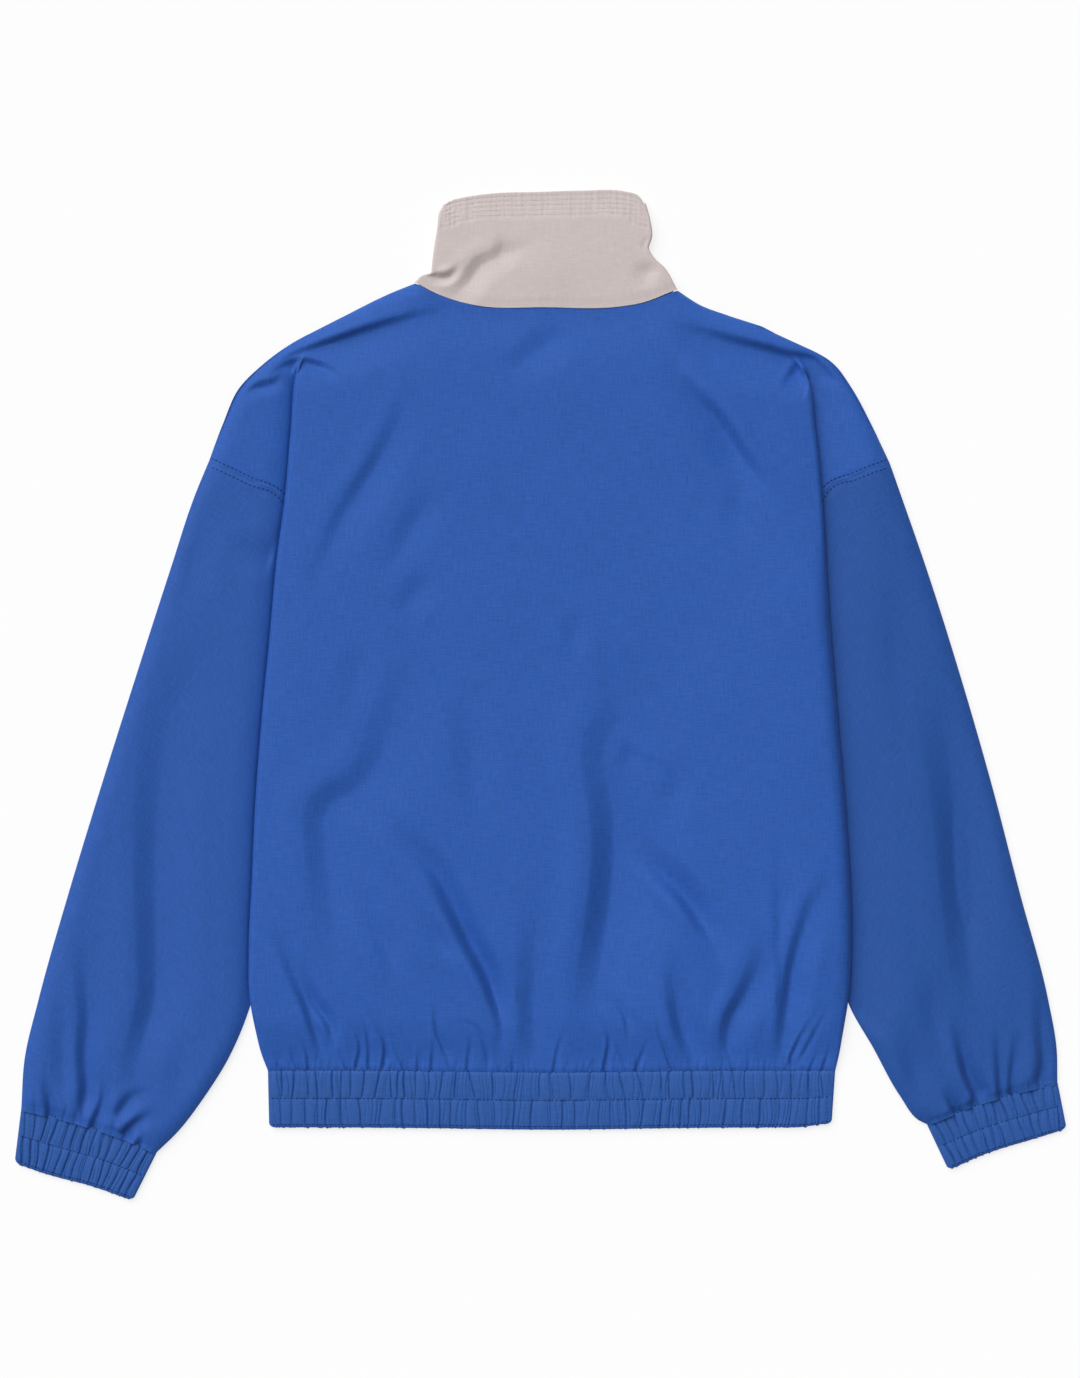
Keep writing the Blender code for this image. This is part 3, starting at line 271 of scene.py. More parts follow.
def addCloth(name, grid, uv, material, ring=False, keep=None, faceDown=False):
    # One sheet over a grid in millimetres. uv is in metres of cloth. The faces of the
    # upper half look up, or down where the cloth's outer side lies on the floor.
    rows, columns = grid.shape[:2]
    i, j = np.meshgrid(np.arange(rows - 1), np.arange(columns if ring else columns - 1), indexing="ij")
    if keep is not None:
        i, j = i[keep], j[keep]
    i, j = i.ravel(), j.ravel()
    following = (j + 1) % columns
    faces = np.stack([i * columns + j, i * columns + following, (i + 1) * columns + following,
                      (i + 1) * columns + j], axis=1)
    corners = np.stack([i, i, i + 1, i + 1], 1), np.stack([j, j + 1, j + 1, j], 1)
    points = grid.reshape(-1, 3).copy()
    points[:, 2] = np.maximum(points[:, 2], heights["least"])
    a, b, d = (points[faces[:, k]] for k in (0, 1, 3))
    high = points[faces].mean(1)[:, 2]
    up = np.cross(b - a, d - a)[high >= np.median(high), 2].sum() > 0
    if up == faceDown:
        faces, corners = faces[:, ::-1], [c[:, ::-1] for c in corners]
    used, places = np.unique(faces, return_inverse=True)
    return addPiece(name, points[used], places.reshape(-1, 4).tolist(), material,
                    uv[corners[0].ravel(), corners[1].ravel()])


def readGrid(grid, i, j):
    # a grid read between its points, straight across each cell
    i, j = np.clip(i, 0, grid.shape[0] - 1.001), np.clip(j, 0, grid.shape[1] - 1.001)
    low, left = i.astype(int), j.astype(int)
    f, g = (i - low)[..., None], (j - left)[..., None]
    return ((grid[low, left] * (1 - g) + grid[low, left + 1] * g) * (1 - f)
            + (grid[low + 1, left] * (1 - g) + grid[low + 1, left + 1] * g) * f)


def addStitches(name, paths, look, material):
    # Thread lies along each path in lens-shaped stitches: six-sided rings whose radius
    # follows a sine from end to end, half sunk in the cloth.
    found = []
    for points, normals in paths:
        length = lengthAlong(points)
        at = np.arange(look["pitch"] / 2, length[-1], look["pitch"])
        place, ahead, up = (np.column_stack([np.interp(s, length, values[:, k]) for k in range(3)])
                            for s, values in ((at, points), (at + 0.5, points), (at, normals)))
        found.append((place, ahead - place, up))
    centre, along, up = (np.concatenate(part) for part in zip(*found))
    along /= np.linalg.norm(along, axis=1, keepdims=True) + 1e-9
    stations = np.array([-1, -0.75, 0, 0.75, 1])
    radius = look["thread"] / 2 * np.array([0.3, 0.85, 1, 0.85, 0.3])
    sides = np.arange(6)
    template = np.stack(np.broadcast_arrays(stations[:, None] * look["length"] / 2,
                                            radius[:, None] * np.cos(sides * math.pi / 3),
                                            radius[:, None] * np.sin(sides * math.pi / 3)), -1)
    axes = np.stack([along, np.cross(up, along), up], 1)
    points = centre[:, None] + np.einsum("ta,nab->ntb", template.reshape(-1, 3), axes)
    ring = np.arange(4)[:, None] * 6 + sides
    after = np.arange(4)[:, None] * 6 + (sides + 1) % 6
    quads = np.stack([ring, after, after + 6, ring + 6], -1).reshape(-1, 4)
    ends = np.stack([sides[::-1], 24 + sides])
    offsets = np.arange(len(centre))[:, None, None] * template[..., 0].size
    faces = (quads + offsets).reshape(-1, 4).tolist() + (ends + offsets).reshape(-1, 6).tolist()
    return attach(addPiece(name, points.reshape(-1, 3), faces, material), "jacket")


# ---- materials ----

def linear(code):
    # an sRGB hex colour as linear values, by the standard's curve
    values = [int(code[k:k + 2], 16) / 255 for k in (1, 3, 5)]
    return [v / 12.92 if v <= 0.04045 else ((v + 0.055) / 1.055) ** 2.4 for v in values] + [1]


def addNode(tree, kind, settings=None, links=None):
    # a node with its settings, its sockets' values and the outputs linked to its inputs
    node = tree.nodes.new(kind)
    for key, value in (settings or {}).items():
        if isinstance(key, str) and hasattr(node, key):
            setattr(node, key, value)
        else:
            node.inputs[key].default_value = value
    for key, output in (links or {}).items():
        tree.links.new(output, node.inputs[key])
    return node


def newMaterial(name, values):
    # a material with the given values of its shader; a text is a hex colour
    material = bpy.data.materials.new(name)
    material.use_nodes = True
    shader = material.node_tree.nodes["Principled BSDF"]
    for key, value in values.items():
        shader.inputs[key].default_value = linear(value) if isinstance(value, str) else value
    return material, material.node_tree, shader


def grained(name, values, scale, strength, depth):
    # a smooth hard material with a fine grain in its surface: noise that lifts the normal
    material, tree, shader = newMaterial(name, values)
    place = addNode(tree, "ShaderNodeTexCoord")
    grain = addNode(tree, "ShaderNodeTexNoise", {"Scale": scale, "Detail": 2},
                    {"Vector": place.outputs["Object"]})
    bump = addNode(tree, "ShaderNodeBump", {"Strength": strength, "Distance": depth * mm},
                   {"Height": grain.outputs["Fac"]})
    tree.links.new(bump.outputs["Normal"], shader.inputs["Normal"])
    return material


# Plain-woven polyamide, matt and a little slubby: faint crossing streaks, soft sheen.
wovenPolyamide = {
    "threadWidth": 0.9,        # real threads are 0.3 mm, too fine to show
    "slubLength": 14,
    "streak": 0.13,            # how much a streak lightens or darkens the dye
    "patches": 420,            # uneven dye, some 2 mm across
    "bump": 0.10,
    "surface": {"Roughness": 0.66, "Sheen Weight": 0.05, "Sheen Roughness": 0.5, "Specular IOR Level": 0.25},
}
# The sleeves are cut from the body's cloth. Their dyes are darker than the body's as painted shade: a little
# on the left sleeve, and more on the right one, which lies in the body's shade.
dyes = {"body": "#2556a9", "sleeve": "#2453a3", "paintedShadeSleeve": "#1f4e99", "band": "#28559e",
        "tape": "#22407a", "collar": "#c8bcba", "collarThread": "#b9aeaa", "thread": "#16336e",
        "box": "#2a3f6b", "plating": "#7d7d80"}


def wovenCloth(name, dye, contrast=1.0):
    # polyamide taffeta: the two thread directions show as streaks along u and along v
    material, tree, shader = newMaterial(name, wovenPolyamide["surface"])
    cloth = addNode(tree, "ShaderNodeUVMap", {"uv_map": "cloth"})
    across, along = (1 / (wovenPolyamide[key] * mm) for key in ("threadWidth", "slubLength"))
    streaks = []
    for scale in ((across, along, 1), (along, across, 1)):
        place = addNode(tree, "ShaderNodeMapping", {"Scale": scale}, {"Vector": cloth.outputs["UV"]})
        streaks.append(addNode(tree, "ShaderNodeTexNoise", {"noise_dimensions": "2D", "Scale": 1,
                                                           "Detail": 2, "Roughness": 0.6},
                               {"Vector": place.outputs["Vector"]}))
    weave = addNode(tree, "ShaderNodeMath", {"operation": "ADD"},
                    {k: streak.outputs["Fac"] for k, streak in enumerate(streaks)})
    patches = addNode(tree, "ShaderNodeTexNoise", {"noise_dimensions": "2D", "Detail": 3,
                                                  "Scale": wovenPolyamide["patches"]},
                      {"Vector": cloth.outputs["UV"]})
    both = addNode(tree, "ShaderNodeMath", {"operation": "MULTIPLY_ADD", 1: 0.35},
                   {0: patches.outputs["Fac"], 2: weave.outputs["Value"]})
    change = wovenPolyamide["streak"] * contrast
    spread = addNode(tree, "ShaderNodeMapRange", {"From Min": 0.85, "From Max": 1.5,
                                                 "To Min": 1 - change, "To Max": 1 + change},
                     {"Value": both.outputs["Value"]})
    tint = addNode(tree, "ShaderNodeMix", {"data_type": "RGBA", "blend_type": "MULTIPLY", 0: 1,
                                          6: linear(dye)}, {7: spread.outputs["Result"]})
    bump = addNode(tree, "ShaderNodeBump", {"Strength": wovenPolyamide["bump"], "Distance": 0.4 * mm},
                   {"Height": weave.outputs["Value"]})
    tree.links.new(tint.outputs[2], shader.inputs["Base Color"])
    tree.links.new(bump.outputs["Normal"], shader.inputs["Normal"])
    return material


def spunThread(name, dye):
    # twisted polyester thread: matt, with a slight pile
    return newMaterial(name, {"Base Color": dye, "Roughness": 0.8, "Specular IOR Level": 0.2})[0]


def platedZinc():
    # die-cast zinc with a dark plating: satin, with a fine grain from tumbling
    values = {"Base Color": dyes["plating"], "Metallic": 1, "Roughness": 0.34}
    return grained("platedZinc", values, 2500, 0.15, 0.05)


def mouldedNylon(name, dye):
    # injection-moulded polyamide: satin, with a faint mottle
    return grained(name, {"Base Color": dye, "Roughness": 0.42}, 900, 0.1, 0.1)


bodyCloth = wovenCloth("wovenPolyamideBody", dyes["body"])
# the sleeves' copies of the body's cloth, with darker dyes that paint shade on them
sleeveCloth = {"left": wovenCloth("wovenPolyamideSleeveLeftPaintedShade", dyes["sleeve"]),
               "right": wovenCloth("wovenPolyamideSleeveRightPaintedShade", dyes["paintedShadeSleeve"])}
bandCloth = wovenCloth("wovenPolyamideBand", dyes["band"])
collarCloth = wovenCloth("wovenPolyamideCollar", dyes["collar"], 0.5)
tapeCloth = wovenCloth("wovenTape", dyes["tape"])
blueThread = spunThread("spunPolyesterBlue", dyes["thread"])
greyThread = spunThread("spunPolyesterGrey", dyes["collarThread"])
print("materials made")

# ---- the cut, as the solids have it ----

heights = {
    "least": 0.05,           # nothing is lower
    "floor": 0.35,           # cloth that lies on the floor
    "pressed": 1.8,          # upper wall of a sleeve under the body
    "returned": 3.0,         # the back where it is tucked in at the side
    "side": 9.4,             # top of the fold at the body's side
    "hem": 5.0,              # the back at the hem seam
    "shoulder": 8.0,         # the back and the sleeve over the shoulder, away from edges
    "middle": 2.2,           # how much higher the back is between its sides
    "neck": 7.0,
}
tuck = {"top": 270, "full": 60, "atHem": 12, "innerRadius": 0.7, "outerLeast": 0.3, "shortestTurn": 1.2,
        "opens": 12, "spreads": 30, "shoulderSlant": 0.5, "bulgeFrom": 80}
hemSeamY, armpitY, shoulderY = -307, -20, 297
zipCut = {"x": 7, "halfGap": 5, "neckDrop": 68, "neckRise": 2.2}

# the folded sides of the body, level by level
bodySides = {
    "y": [-307, -294, -274, -249, -208, -151, -85, -20, 46, 112, 161, 218, 267, 297],
    "left": [-223, -228, -233, -237.5, -238.5, -236, -233, -228, -221.5, -215.5, -209, -204, -199, -188.5],
    "right": [242, 245, 248.5, 252.5, 255, 254, 249.5, 244, 238.5, 234, 231, 225.5, 216, 193],
}
# where each row of the back meets the armhole's seam
armholeLevels = [-20, 46, 112, 161, 222, 297]
armholes = {
    "left": [(-175.5, -18), (-183, 46), (-192.5, 111.5), (-209, 160.5), (-238.5, 176.5), (-271.5, 192)],
    "right": [(192, -18), (202, 46), (214, 111.5), (232, 166), (259, 180.5), (286.5, 191)],
}
shoulders = {
    "left": [(-271.5, 192), (-259, 223), (-245, 252.5), (-225.5, 272), (-197.5, 292), (-188.5, 297),
             (-160, 311.5), (-119, 331.5), (-102.5, 338)],
    "right": [(286.5, 191), (270.5, 223), (254, 252.5), (239.5, 272), (204, 292), (193, 297),
              (155, 311.5), (131, 320.5), (113, 332)],
}
tuckPoint = 5                # the shoulder's point where the tuck ends
neckBack = [(-102.5, 338), (-86, 329.5), (-57, 320.5), (8, 318), (66, 318.5), (84.5, 321.5), (113, 332)]
sleeveOuter = {
    "left": [(-271.5, 192), (-283, 164), (-302.5, 105), (-331, 16.5), (-359, -72), (-386, -160.5),
             (-411, -249), (-422.5, -298.5), (-425, -337)],
    "right": [(286.5, 191), (296, 164), (316.5, 105), (344.5, 16.5), (370, -72), (393, -160.5),
              (416.5, -249), (423.5, -290), (424, -316)],
}
sleeveInner = {
    "left": [(-175.5, -18), (-192.5, -77), (-211.5, -151), (-228, -216.5), (-238, -256), (-256, -298.5),
             (-274.5, -328), (-297, -357.5), (-314, -374)],
    "right": [(192, -18), (208.5, -77), (226.5, -151), (242, -208.5), (252.5, -251.5), (273, -288.5),
              (295, -328), (310, -347.5), (317, -351)],
}
cuffSeam = {
    "left": [(-425, -337), (-403.5, -342), (-364, -353.5), (-329.5, -366.5), (-314, -374)],
    "right": [(424, -316), (396, -322.5), (354, -335.5), (317, -351)],
}
cuffEnd = {
    "left": [(-430.5, -382), (-406, -390.5), (-364, -402), (-333.5, -413)],
    "right": [(431.5, -354), (408.5, -361), (360, -376.5), (334.5, -388)],
}


def outward(side):
    # the sign of x on that side
    return -1 if side == "left" else 1


def bodyEdgeX(side, y):
    # distance of the folded side of the body from x = 0
    levels = bodySides["y"]
    return glide(levels, np.abs(bodySides[side]), np.clip(y, levels[0], levels[-1]))


def sleeveEdgeX(side, y):
    # distance of the sleeve's underarm edge from x = 0, where the back passes over it
    x, levels = zip(*sleeveInner[side][::-1])
    return glide(levels, np.abs(x), max(y, levels[0]))


def seamEnd(side, y):
    # the armhole seam's place at a row of the back or of the sleeve's cap
    return glide(armholeLevels, armholes[side], y)


def sideLevel(y):
    # top of the back at its folded side: lower at the hem and over the shoulder
    low = heights["hem"] + (heights["side"] - heights["hem"]) * smooth(y, hemSeamY, hemSeamY + 45)
    atShoulder = smooth(y, tuck["top"] - 20, tuck["top"] + tuck["spreads"])
    return low + (heights["shoulder"] - heights["side"]) * atShoulder


# the right side is folded less sharply: its rim slopes up from the fold to a low crown
rim = {"drop": {"left": 0, "right": 2}, "rise": 6, "reach": 11, "start": 1.8, "crown": (30, 150),
       "low": (-290, -200), "high": (60, 160)}


def rimDrop(side, y):
    # full between the low and the high range, nothing beyond them
    return rim["drop"][side] * smooth(y, *rim["low"]) * (1 - smooth(y, *rim["high"]))


# ---- creases, as they lie in the photograph ----

# Each row: the line's points, width of the fall, width of the rise, depth, the share of the
# length where it is deepest, and the fall's width at the end as a share of that at the start.
# A line runs so that the cloth is lower on its left. It lies on the middle of the slope
# that falls, which is the one that the light misses. Widths and depths are millimetres.
shoulderCreases = [
    ([(470, 305), (427, 313), (378, 326), (332, 341), (305, 350), (288, 357), (275, 365),
      (262, 377)], 2.9, 36, 5, 0.6, 0.5),
    ([(350, 386), (334, 371), (318, 364), (302, 361), (290, 362.5), (279, 368),
      (266, 379)], 1.7, 9, 3.8, 0.5, 0.8),
    ([(284, 372), (273, 382), (258, 385), (241, 396)], 2, 10, 3.8, 0.5, 0.8),
    ([(832, 368), (818, 359), (806, 356.5), (793, 355), (770, 349), (740, 342), (707, 333.5), (680, 326),
      (655, 319)], 2.6, 40, 7, 0.2, 1.5),
    ([(800, 361), (789, 375), (777, 396)], 2.2, 26, 2.8, 0.15, 1),
    ([(842, 390), (833, 378), (822, 367), (811, 362), (802, 366)], 2, 9, 3.4, 0.6, 1),
]
backCreases = [
    ([(412, 372), (386, 436), (364, 475), (338, 516), (321, 555), (298, 606)], 5, 26, 2.9, 0.45, 1),
    ([(440, 476), (414, 510), (395, 545), (372, 590)], 7.4, 23, 2.1, 0.4, 1),
    ([(430, 560), (408, 592), (388, 620)], 7.4, 20.7, 1.8, 0.5, 1),
    ([(574, 319), (527, 347), (490, 380)], 8.3, 25.3, 2.9, 0.4, 1),
    ([(788, 514), (763, 480), (743, 453), (720, 417), (693, 390), (657, 350)], 4.6, 30, 7, 0.45, 1),
    ([(760, 542), (746, 514), (728, 478)], 6.4, 18.4, 1.8, 0.5, 1),
    ([(398, 590), (399, 671), (383, 710), (372, 748), (357, 776), (334, 790), (316, 806), (314, 832),
      (318, 870), (324, 919), (330, 1000)], 10, 52, 4.4, 0.62, 0.8),
    ([(347, 630), (350, 730)], 8.3, 23, 1.5, 0.5, 1),
    ([(368, 800), (403, 847), (431, 875), (447, 906), (467, 947), (480, 970), (491, 998), (499, 1030),
      (494, 1056)], 6.6, 18, 10.5, 0.68, 0.4),
    ([(350, 875), (363, 916), (383, 952), (396, 990)], 6.4, 18.4, 2.7, 0.6, 0.8),
    ([(408, 904), (434, 942), (468, 970)], 6.4, 16.1, 2.7, 0.6, 0.8),
    ([(266, 912), (289, 970), (304, 1005), (317, 1045), (324, 1071)], 3.7, 13.8, 5, 0.65, 0.6),
    ([(298, 956), (313, 1003), (328, 1028), (331, 1054)], 3.7, 11.5, 5, 0.65, 0.6),
    ([(530, 865), (525, 960), (524, 998), (527, 1071)], 9.2, 29.9, 4.3, 0.75, 0.7),
    ([(450, 670), (460, 743), (470, 804), (490, 850)], 8.3, 27.6, 2, 0.5, 1),
    ([(562, 612), (572, 660)], 6.4, 16.1, 1.5, 0.5, 1),
    ([(592, 616), (600, 676), (608, 706), (604, 722), (594, 736), (592, 762), (599, 800), (602, 848),
      (598, 901), (590, 952), (585, 998), (587, 1040)], 10.1, 69, 8.9, 0.68, 0.9),
    ([(620, 735), (628, 778)], 5.5, 16.1, 1.5, 0.5, 1),
    ([(620, 828), (652, 870), (678, 897), (696, 922), (710, 944), (730, 972)], 5, 20, 7.6, 0.55, 0.8),
    ([(675, 745), (661, 826)], 7.4, 20.7, 1.5, 0.5, 1),
    ([(665, 945), (670, 998), (677, 1031), (699, 1071)], 5.5, 23, 5.6, 0.65, 0.6),
    ([(766, 918), (754, 957), (739, 993), (727, 1015), (721, 1070)], 6.4, 23, 5.4, 0.65, 0.5),
    ([(772, 800), (775, 931), (777, 998), (776, 1070)], 4, 18, 2.2, 0.7, 0.7),
    ([(846, 868), (826, 878), (808, 900), (797, 930), (788, 965), (784, 998), (781, 1021),
      (774, 1070)], 4.6, 22, 5.4, 0.6, 0.6),
]
hemGathers = [
    ([(270, 1052), (281, 1072)], 0.9, 4.2, 1.7, 1, 1),
    ([(286, 1042), (298, 1072)], 0.9, 4.2, 2, 1, 0.8),
    ([(293, 1026), (307, 1056), (307, 1072)], 1.1, 4.9, 2.2, 1, 0.7),
    ([(334, 1046), (348, 1072)], 0.9, 4.2, 1.7, 1, 0.8),
    ([(342, 1010), (359, 1044), (354, 1072)], 1.1, 4.9, 2.1, 0.9, 0.7),
    ([(354, 994), (367, 1036), (368, 1072)], 1.1, 4.9, 2, 1, 0.7),
    ([(359, 1002), (384, 1044), (381, 1072)], 1.3, 5.6, 2.5, 0.9, 0.6),
    ([(374, 1026), (392, 1072)], 1, 4.2, 1.2, 1, 0.7),
    ([(384, 1026), (405, 1072)], 1.1, 4.9, 1.7, 1, 0.7),
    ([(418, 1044), (417, 1073)], 0.9, 4.2, 1.7, 1, 0.8),
    ([(434, 1026), (430, 1073)], 1, 4.9, 2, 1, 0.7),
    ([(433, 990), (437, 1035), (452, 1066)], 1.7, 7, 2.2, 0.7, 0.6),
    ([(491, 1073), (488, 1045), (481, 1029), (463, 1019), (444, 1028)], 1.2, 4.9, 1.7, 0.2, 1.6),
    ([(471, 1026), (466, 1070)], 1.2, 4.9, 1.6, 1, 0.8),
    ([(512, 1046), (511, 1073)], 0.9, 4.2, 1.2, 1, 0.8),
    ([(569, 1018), (558, 1043), (552, 1073)], 1.1, 4.9, 1.6, 1, 0.7),
    ([(586, 1006), (606, 1031), (602, 1073)], 1.3, 5.6, 2.6, 1, 0.6),
    ([(600, 992), (622, 1013), (627, 1046)], 1.5, 6.3, 1.7, 0.5, 0.8),
    ([(609, 1034), (625, 1067)], 1.1, 4.9, 1.2, 0.8, 0.8),
    ([(647, 1036), (633, 1072)], 1, 4.9, 2.2, 1, 0.7),
    ([(650, 999), (660, 1040), (672, 1072)], 1.2, 5.6, 2.2, 1, 0.6),
    ([(723, 1040), (732, 1072)], 0.9, 4.2, 1.7, 1, 0.8),
    ([(746, 1042), (747, 1072)], 0.9, 4.2, 1.2, 1, 0.8),
    ([(816, 1006), (794, 1046), (789, 1060), (795, 1074)], 1.2, 5.6, 2.3, 0.85, 0.7),
    ([(831, 996), (797, 1062)], 1.1, 4.9, 1.2, 0.8, 1),
    ([(829, 1040), (821, 1072)], 1, 4.2, 2, 1, 0.8),
    ([(818, 1046), (808, 1070)], 0.9, 4.2, 1.2, 1, 0.8),
]
sleeveCreases = {
    "left": [
        ([(240, 585), (193, 648), (158, 717), (148, 786), (145, 869), (146, 940), (146, 999), (134, 1043),
          (127, 1078), (110, 1116)], 12.3, 40.8, 5.9, 0.75, 0.5),
        ([(83, 905), (81, 983), (83, 1009), (81, 1064), (83, 1084),
          (77, 1124)], 5.7, 19.2, 5.9, 0.85, 0.5),
        ([(99, 1045), (101, 1100), (91, 1126)], 2.8, 10.8, 4.4, 1, 0.7),
        ([(42, 1068), (49, 1118)], 2.8, 9.6, 4.4, 1, 0.7),
        ([(158, 1108), (138, 1118), (121, 1133)], 2.8, 10.8, 5.9, 0.95, 0.8),
        ([(134, 1128), (139, 1140), (129, 1149)], 2.1, 7.2, 4.4, 0.9, 0.8),
        ([(156, 1084), (128, 1096), (114, 1117)], 3.8, 12, 3.5, 0.8, 0.7),
        ([(60, 985), (58, 1060), (62, 1112)], 6.6, 19.2, 2.3, 0.6, 0.8),
        ([(184, 1000), (176, 1050), (166, 1114)], 8.5, 24, 1.7, 0.6, 0.8),
        ([(276, 549), (250, 543), (226, 537)], 8, 24, 1.9, 0.1, 1),
        ([(200, 480), (188, 540), (170, 620)], 8.5, 26.4, 2, 0.5, 1),
    ],
    "right": [
        ([(912, 640), (922, 674), (929, 723), (938, 775), (945, 827), (951, 896), (957, 948), (963, 990),
          (974, 1042)], 11.5, 34, 8.2, 0.6, 0.75),
        ([(947, 1000), (958, 1052), (964, 1075), (980, 1107)], 4.3, 14.4, 7.7, 0.85, 0.5),
        ([(992, 1012), (996, 1068), (998, 1100)], 3, 10.8, 4.4, 1, 0.7),
        ([(1016, 1020), (1009, 1068), (1008, 1096)], 3, 10.8, 4.4, 1, 0.7),
        ([(1036, 955), (1036, 1029), (1038, 1061), (1033, 1088)], 4.8, 16.8, 4.9, 0.9, 0.6),
        ([(939, 1084), (956, 1118)], 2.8, 10.8, 5.5, 0.9, 0.7),
        ([(971, 1080), (970, 1112)], 2.1, 8.4, 3.7, 1, 0.8),
        ([(893, 1010), (904, 1060), (920, 1108)], 7.6, 24, 2.6, 0.6, 0.7),
        ([(922, 955), (924, 1010), (944, 1082)], 7.6, 24, 2.6, 0.5, 0.8),
        ([(870, 560), (884, 700), (890, 800)], 11.4, 36, 2, 0.5, 1),
    ],
}
collarCreases = [
    ([(457, 260), (453, 271), (446, 276), (437, 275), (431, 267)], 2.4, 7.8, 4.7, 0.6, 0.8),
    ([(503, 218), (500, 240), (494, 253), (478, 262), (463, 281), (438, 302)], 4, 18.2, 3.9, 0.6, 1.3),
    ([(542, 238), (515, 246), (490, 254)], 4, 15.6, 1.6, 0.8, 1.2),
    ([(648, 294), (656, 262)], 5, 15.6, 2.3, 0.6, 1),
    ([(640, 251), (647, 249), (656, 246)], 2.4, 7.8, 3.1, 0.9, 0.8),
]

# ---- the arm's upper wall: the sleeve, and the back beside its armhole ----

armShape = {"edgeReach": 15, "underarmReach": 14, "dive": {"left": 21, "right": 46}, "seamDip": 0.7,
            "stitchDip": 0.5, "stitchOffset": 3.3, "dipWidth": 0.9}
cuffGathers = {"pitch": 6.5, "depth": 0.9, "width": 1.5, "slant": 3, "reach": 0.9}


def armTop(side, xy):
    # Height = pressed + fullness * rounding at both edges * how far the body lets it rise,
    # plus the creases, minus the dips along the armhole's seam and its stitching.
    outline = np.array(shoulders[side][::-1] + sleeveOuter[side][1:])
    beside = xy[..., 0] * outward(side) - bodyEdgeX(side, xy[..., 1])
    reach = armShape["dive"][side]
    free = roundEdge(beside, reach) if side == "left" else smooth(beside, 0, reach)
    free = np.maximum(free, 1 - smooth(xy[..., 1], hemSeamY + 20, hemSeamY + 60))
    above = smooth(xy[..., 1], tuck["top"] - 10, tuck["top"] + 30)
    free = free + (1 - free) * above
    edges = (roundEdge(distanceTo(outline, xy), armShape["edgeReach"])
             * roundEdge(distanceTo(sleeveInner[side], xy), armShape["underarmReach"]))
    full = (heights["shoulder"] - heights["pressed"]) * free
    full = full + creaseRelief(sleeveCreases[side] + shoulderCreases, xy) + 0.35 * unevenness(xy, 70, 5)
    seam = distanceTo(armholes[side], xy)
    dips = sum(depth * np.exp(-((seam - place) / armShape["dipWidth"]) ** 2) for depth, place in
               ((armShape["seamDip"], 0), (armShape["stitchDip"], armShape["stitchOffset"])))
    return heights["pressed"] + np.maximum(full, 0) * edges - dips


# ---- back ----

backLook = {"columns": 400, "shoulderColumns": 66, "yokeColumns": 34, "turnSteps": 5, "tuckColumns": 6,
            "neckReach": 42, "edgeReach": 16, "sideFade": 14, "sideReach": 34, "seamDip": 1.1,
            "seamWidth": 1.8, "sag": 1.6, "sagX": 8, "sagWidth": 90, "sagFade": 30, "besideFold": -14,
            "stitchesFrom": 130}
backGathers = {"pitch": 5.5, "depth": 0.8, "width": 0.9, "slant": 0.2, "reach": 15}
backRows = np.unique(np.concatenate([np.arange(-307, -240, 1.7), np.arange(-240, -20, 3.6), [-20],
                                     np.arange(-17, 216, 3.6), np.arange(216, 280, 2.2),
                                     np.linspace(280, 297, 9)]))


def tuckStrip(side, y):
    # One row above the armpit, from the armhole seam to the visible side. The section is
    # summed from headings: a turn in, the tucked layer, and a turn out. Near the shoulder
    # both turns open, and the cloth runs straight on.
    n, steps, width = backLook["turnSteps"], backLook["tuckColumns"], backLook["yokeColumns"]
    opening = smooth(y, tuck["top"] - tuck["opens"], tuck["top"])
    turn = math.pi * (1 - opening)
    level = sideLevel(y) - rimDrop(side, y)
    rise = (level - heights["pressed"]) * (1 - opening)
    spread = smooth(y, tuck["top"], tuck["top"] + tuck["spreads"])
    swing = turn * (np.arange(n) + 0.5) / n
    outerRadius = max((rise - 2 * tuck["innerRadius"]) / 2, tuck["outerLeast"])
    least = tuck["shortestTurn"] * (1 + 2 * spread)
    stepIn, stepOut = (max(radius * turn, least) / n for radius in (tuck["innerRadius"], outerRadius))
    flat = tuck["full"] * np.clip((tuck["top"] - y) / (tuck["top"] - armpitY), 0, 1) - 2 * outerRadius
    if turn < 2.5:                 # the tucked layer slopes, and must reach the turn out
        flat = (rise - (stepIn + stepOut) * np.sin(swing).sum()) / max(math.sin(turn), 0.2)
    flat = max(flat, tuck["shortestTurn"] * (0.5 + 6 * spread))
    heading = np.concatenate([swing, np.full(steps, turn), swing[::-1]])
    length = np.repeat([stepIn, flat / steps, stepOut], [n, steps, n])
    inward, z = (np.concatenate([[0], np.cumsum(length * turned(heading))]) for turned in (np.cos, np.sin))
    inward -= inward[n:].min()
    z += level - z[-1]
    slant = tuck["shoulderSlant"] * smooth(y, tuck["top"] + 10, shoulderY)
    strip = np.column_stack([(bodyEdgeX(side, y) - inward) * outward(side), y + slant * inward, z])
    share = np.linspace(0, 1, width + 1)[:-1, None]
    yoke = seamEnd(side, y) * (1 - share) + strip[0, :2] * share
    outline = alongCurve(shoulders[side][:tuckPoint + 1], np.linspace(0, 1, width + 1))
    bulge = outline[:-1] - (outline[0] * (1 - share) + outline[-1] * share)
    yoke += bulge * smooth(y, tuck["top"] - tuck["bulgeFrom"], shoulderY) ** 2
    return np.concatenate([np.column_stack([yoke, np.full(len(yoke), z[0])]), strip])


# cloth under the fold: its least height, where it lifts above the hem seam, and how far it
# keeps from the sleeve's edge and from the fold
sideFold = {"least": 0.8, "lifts": (25, 75), "foot": (5.6, 6), "head": (1.6, 3), "seam": 2}


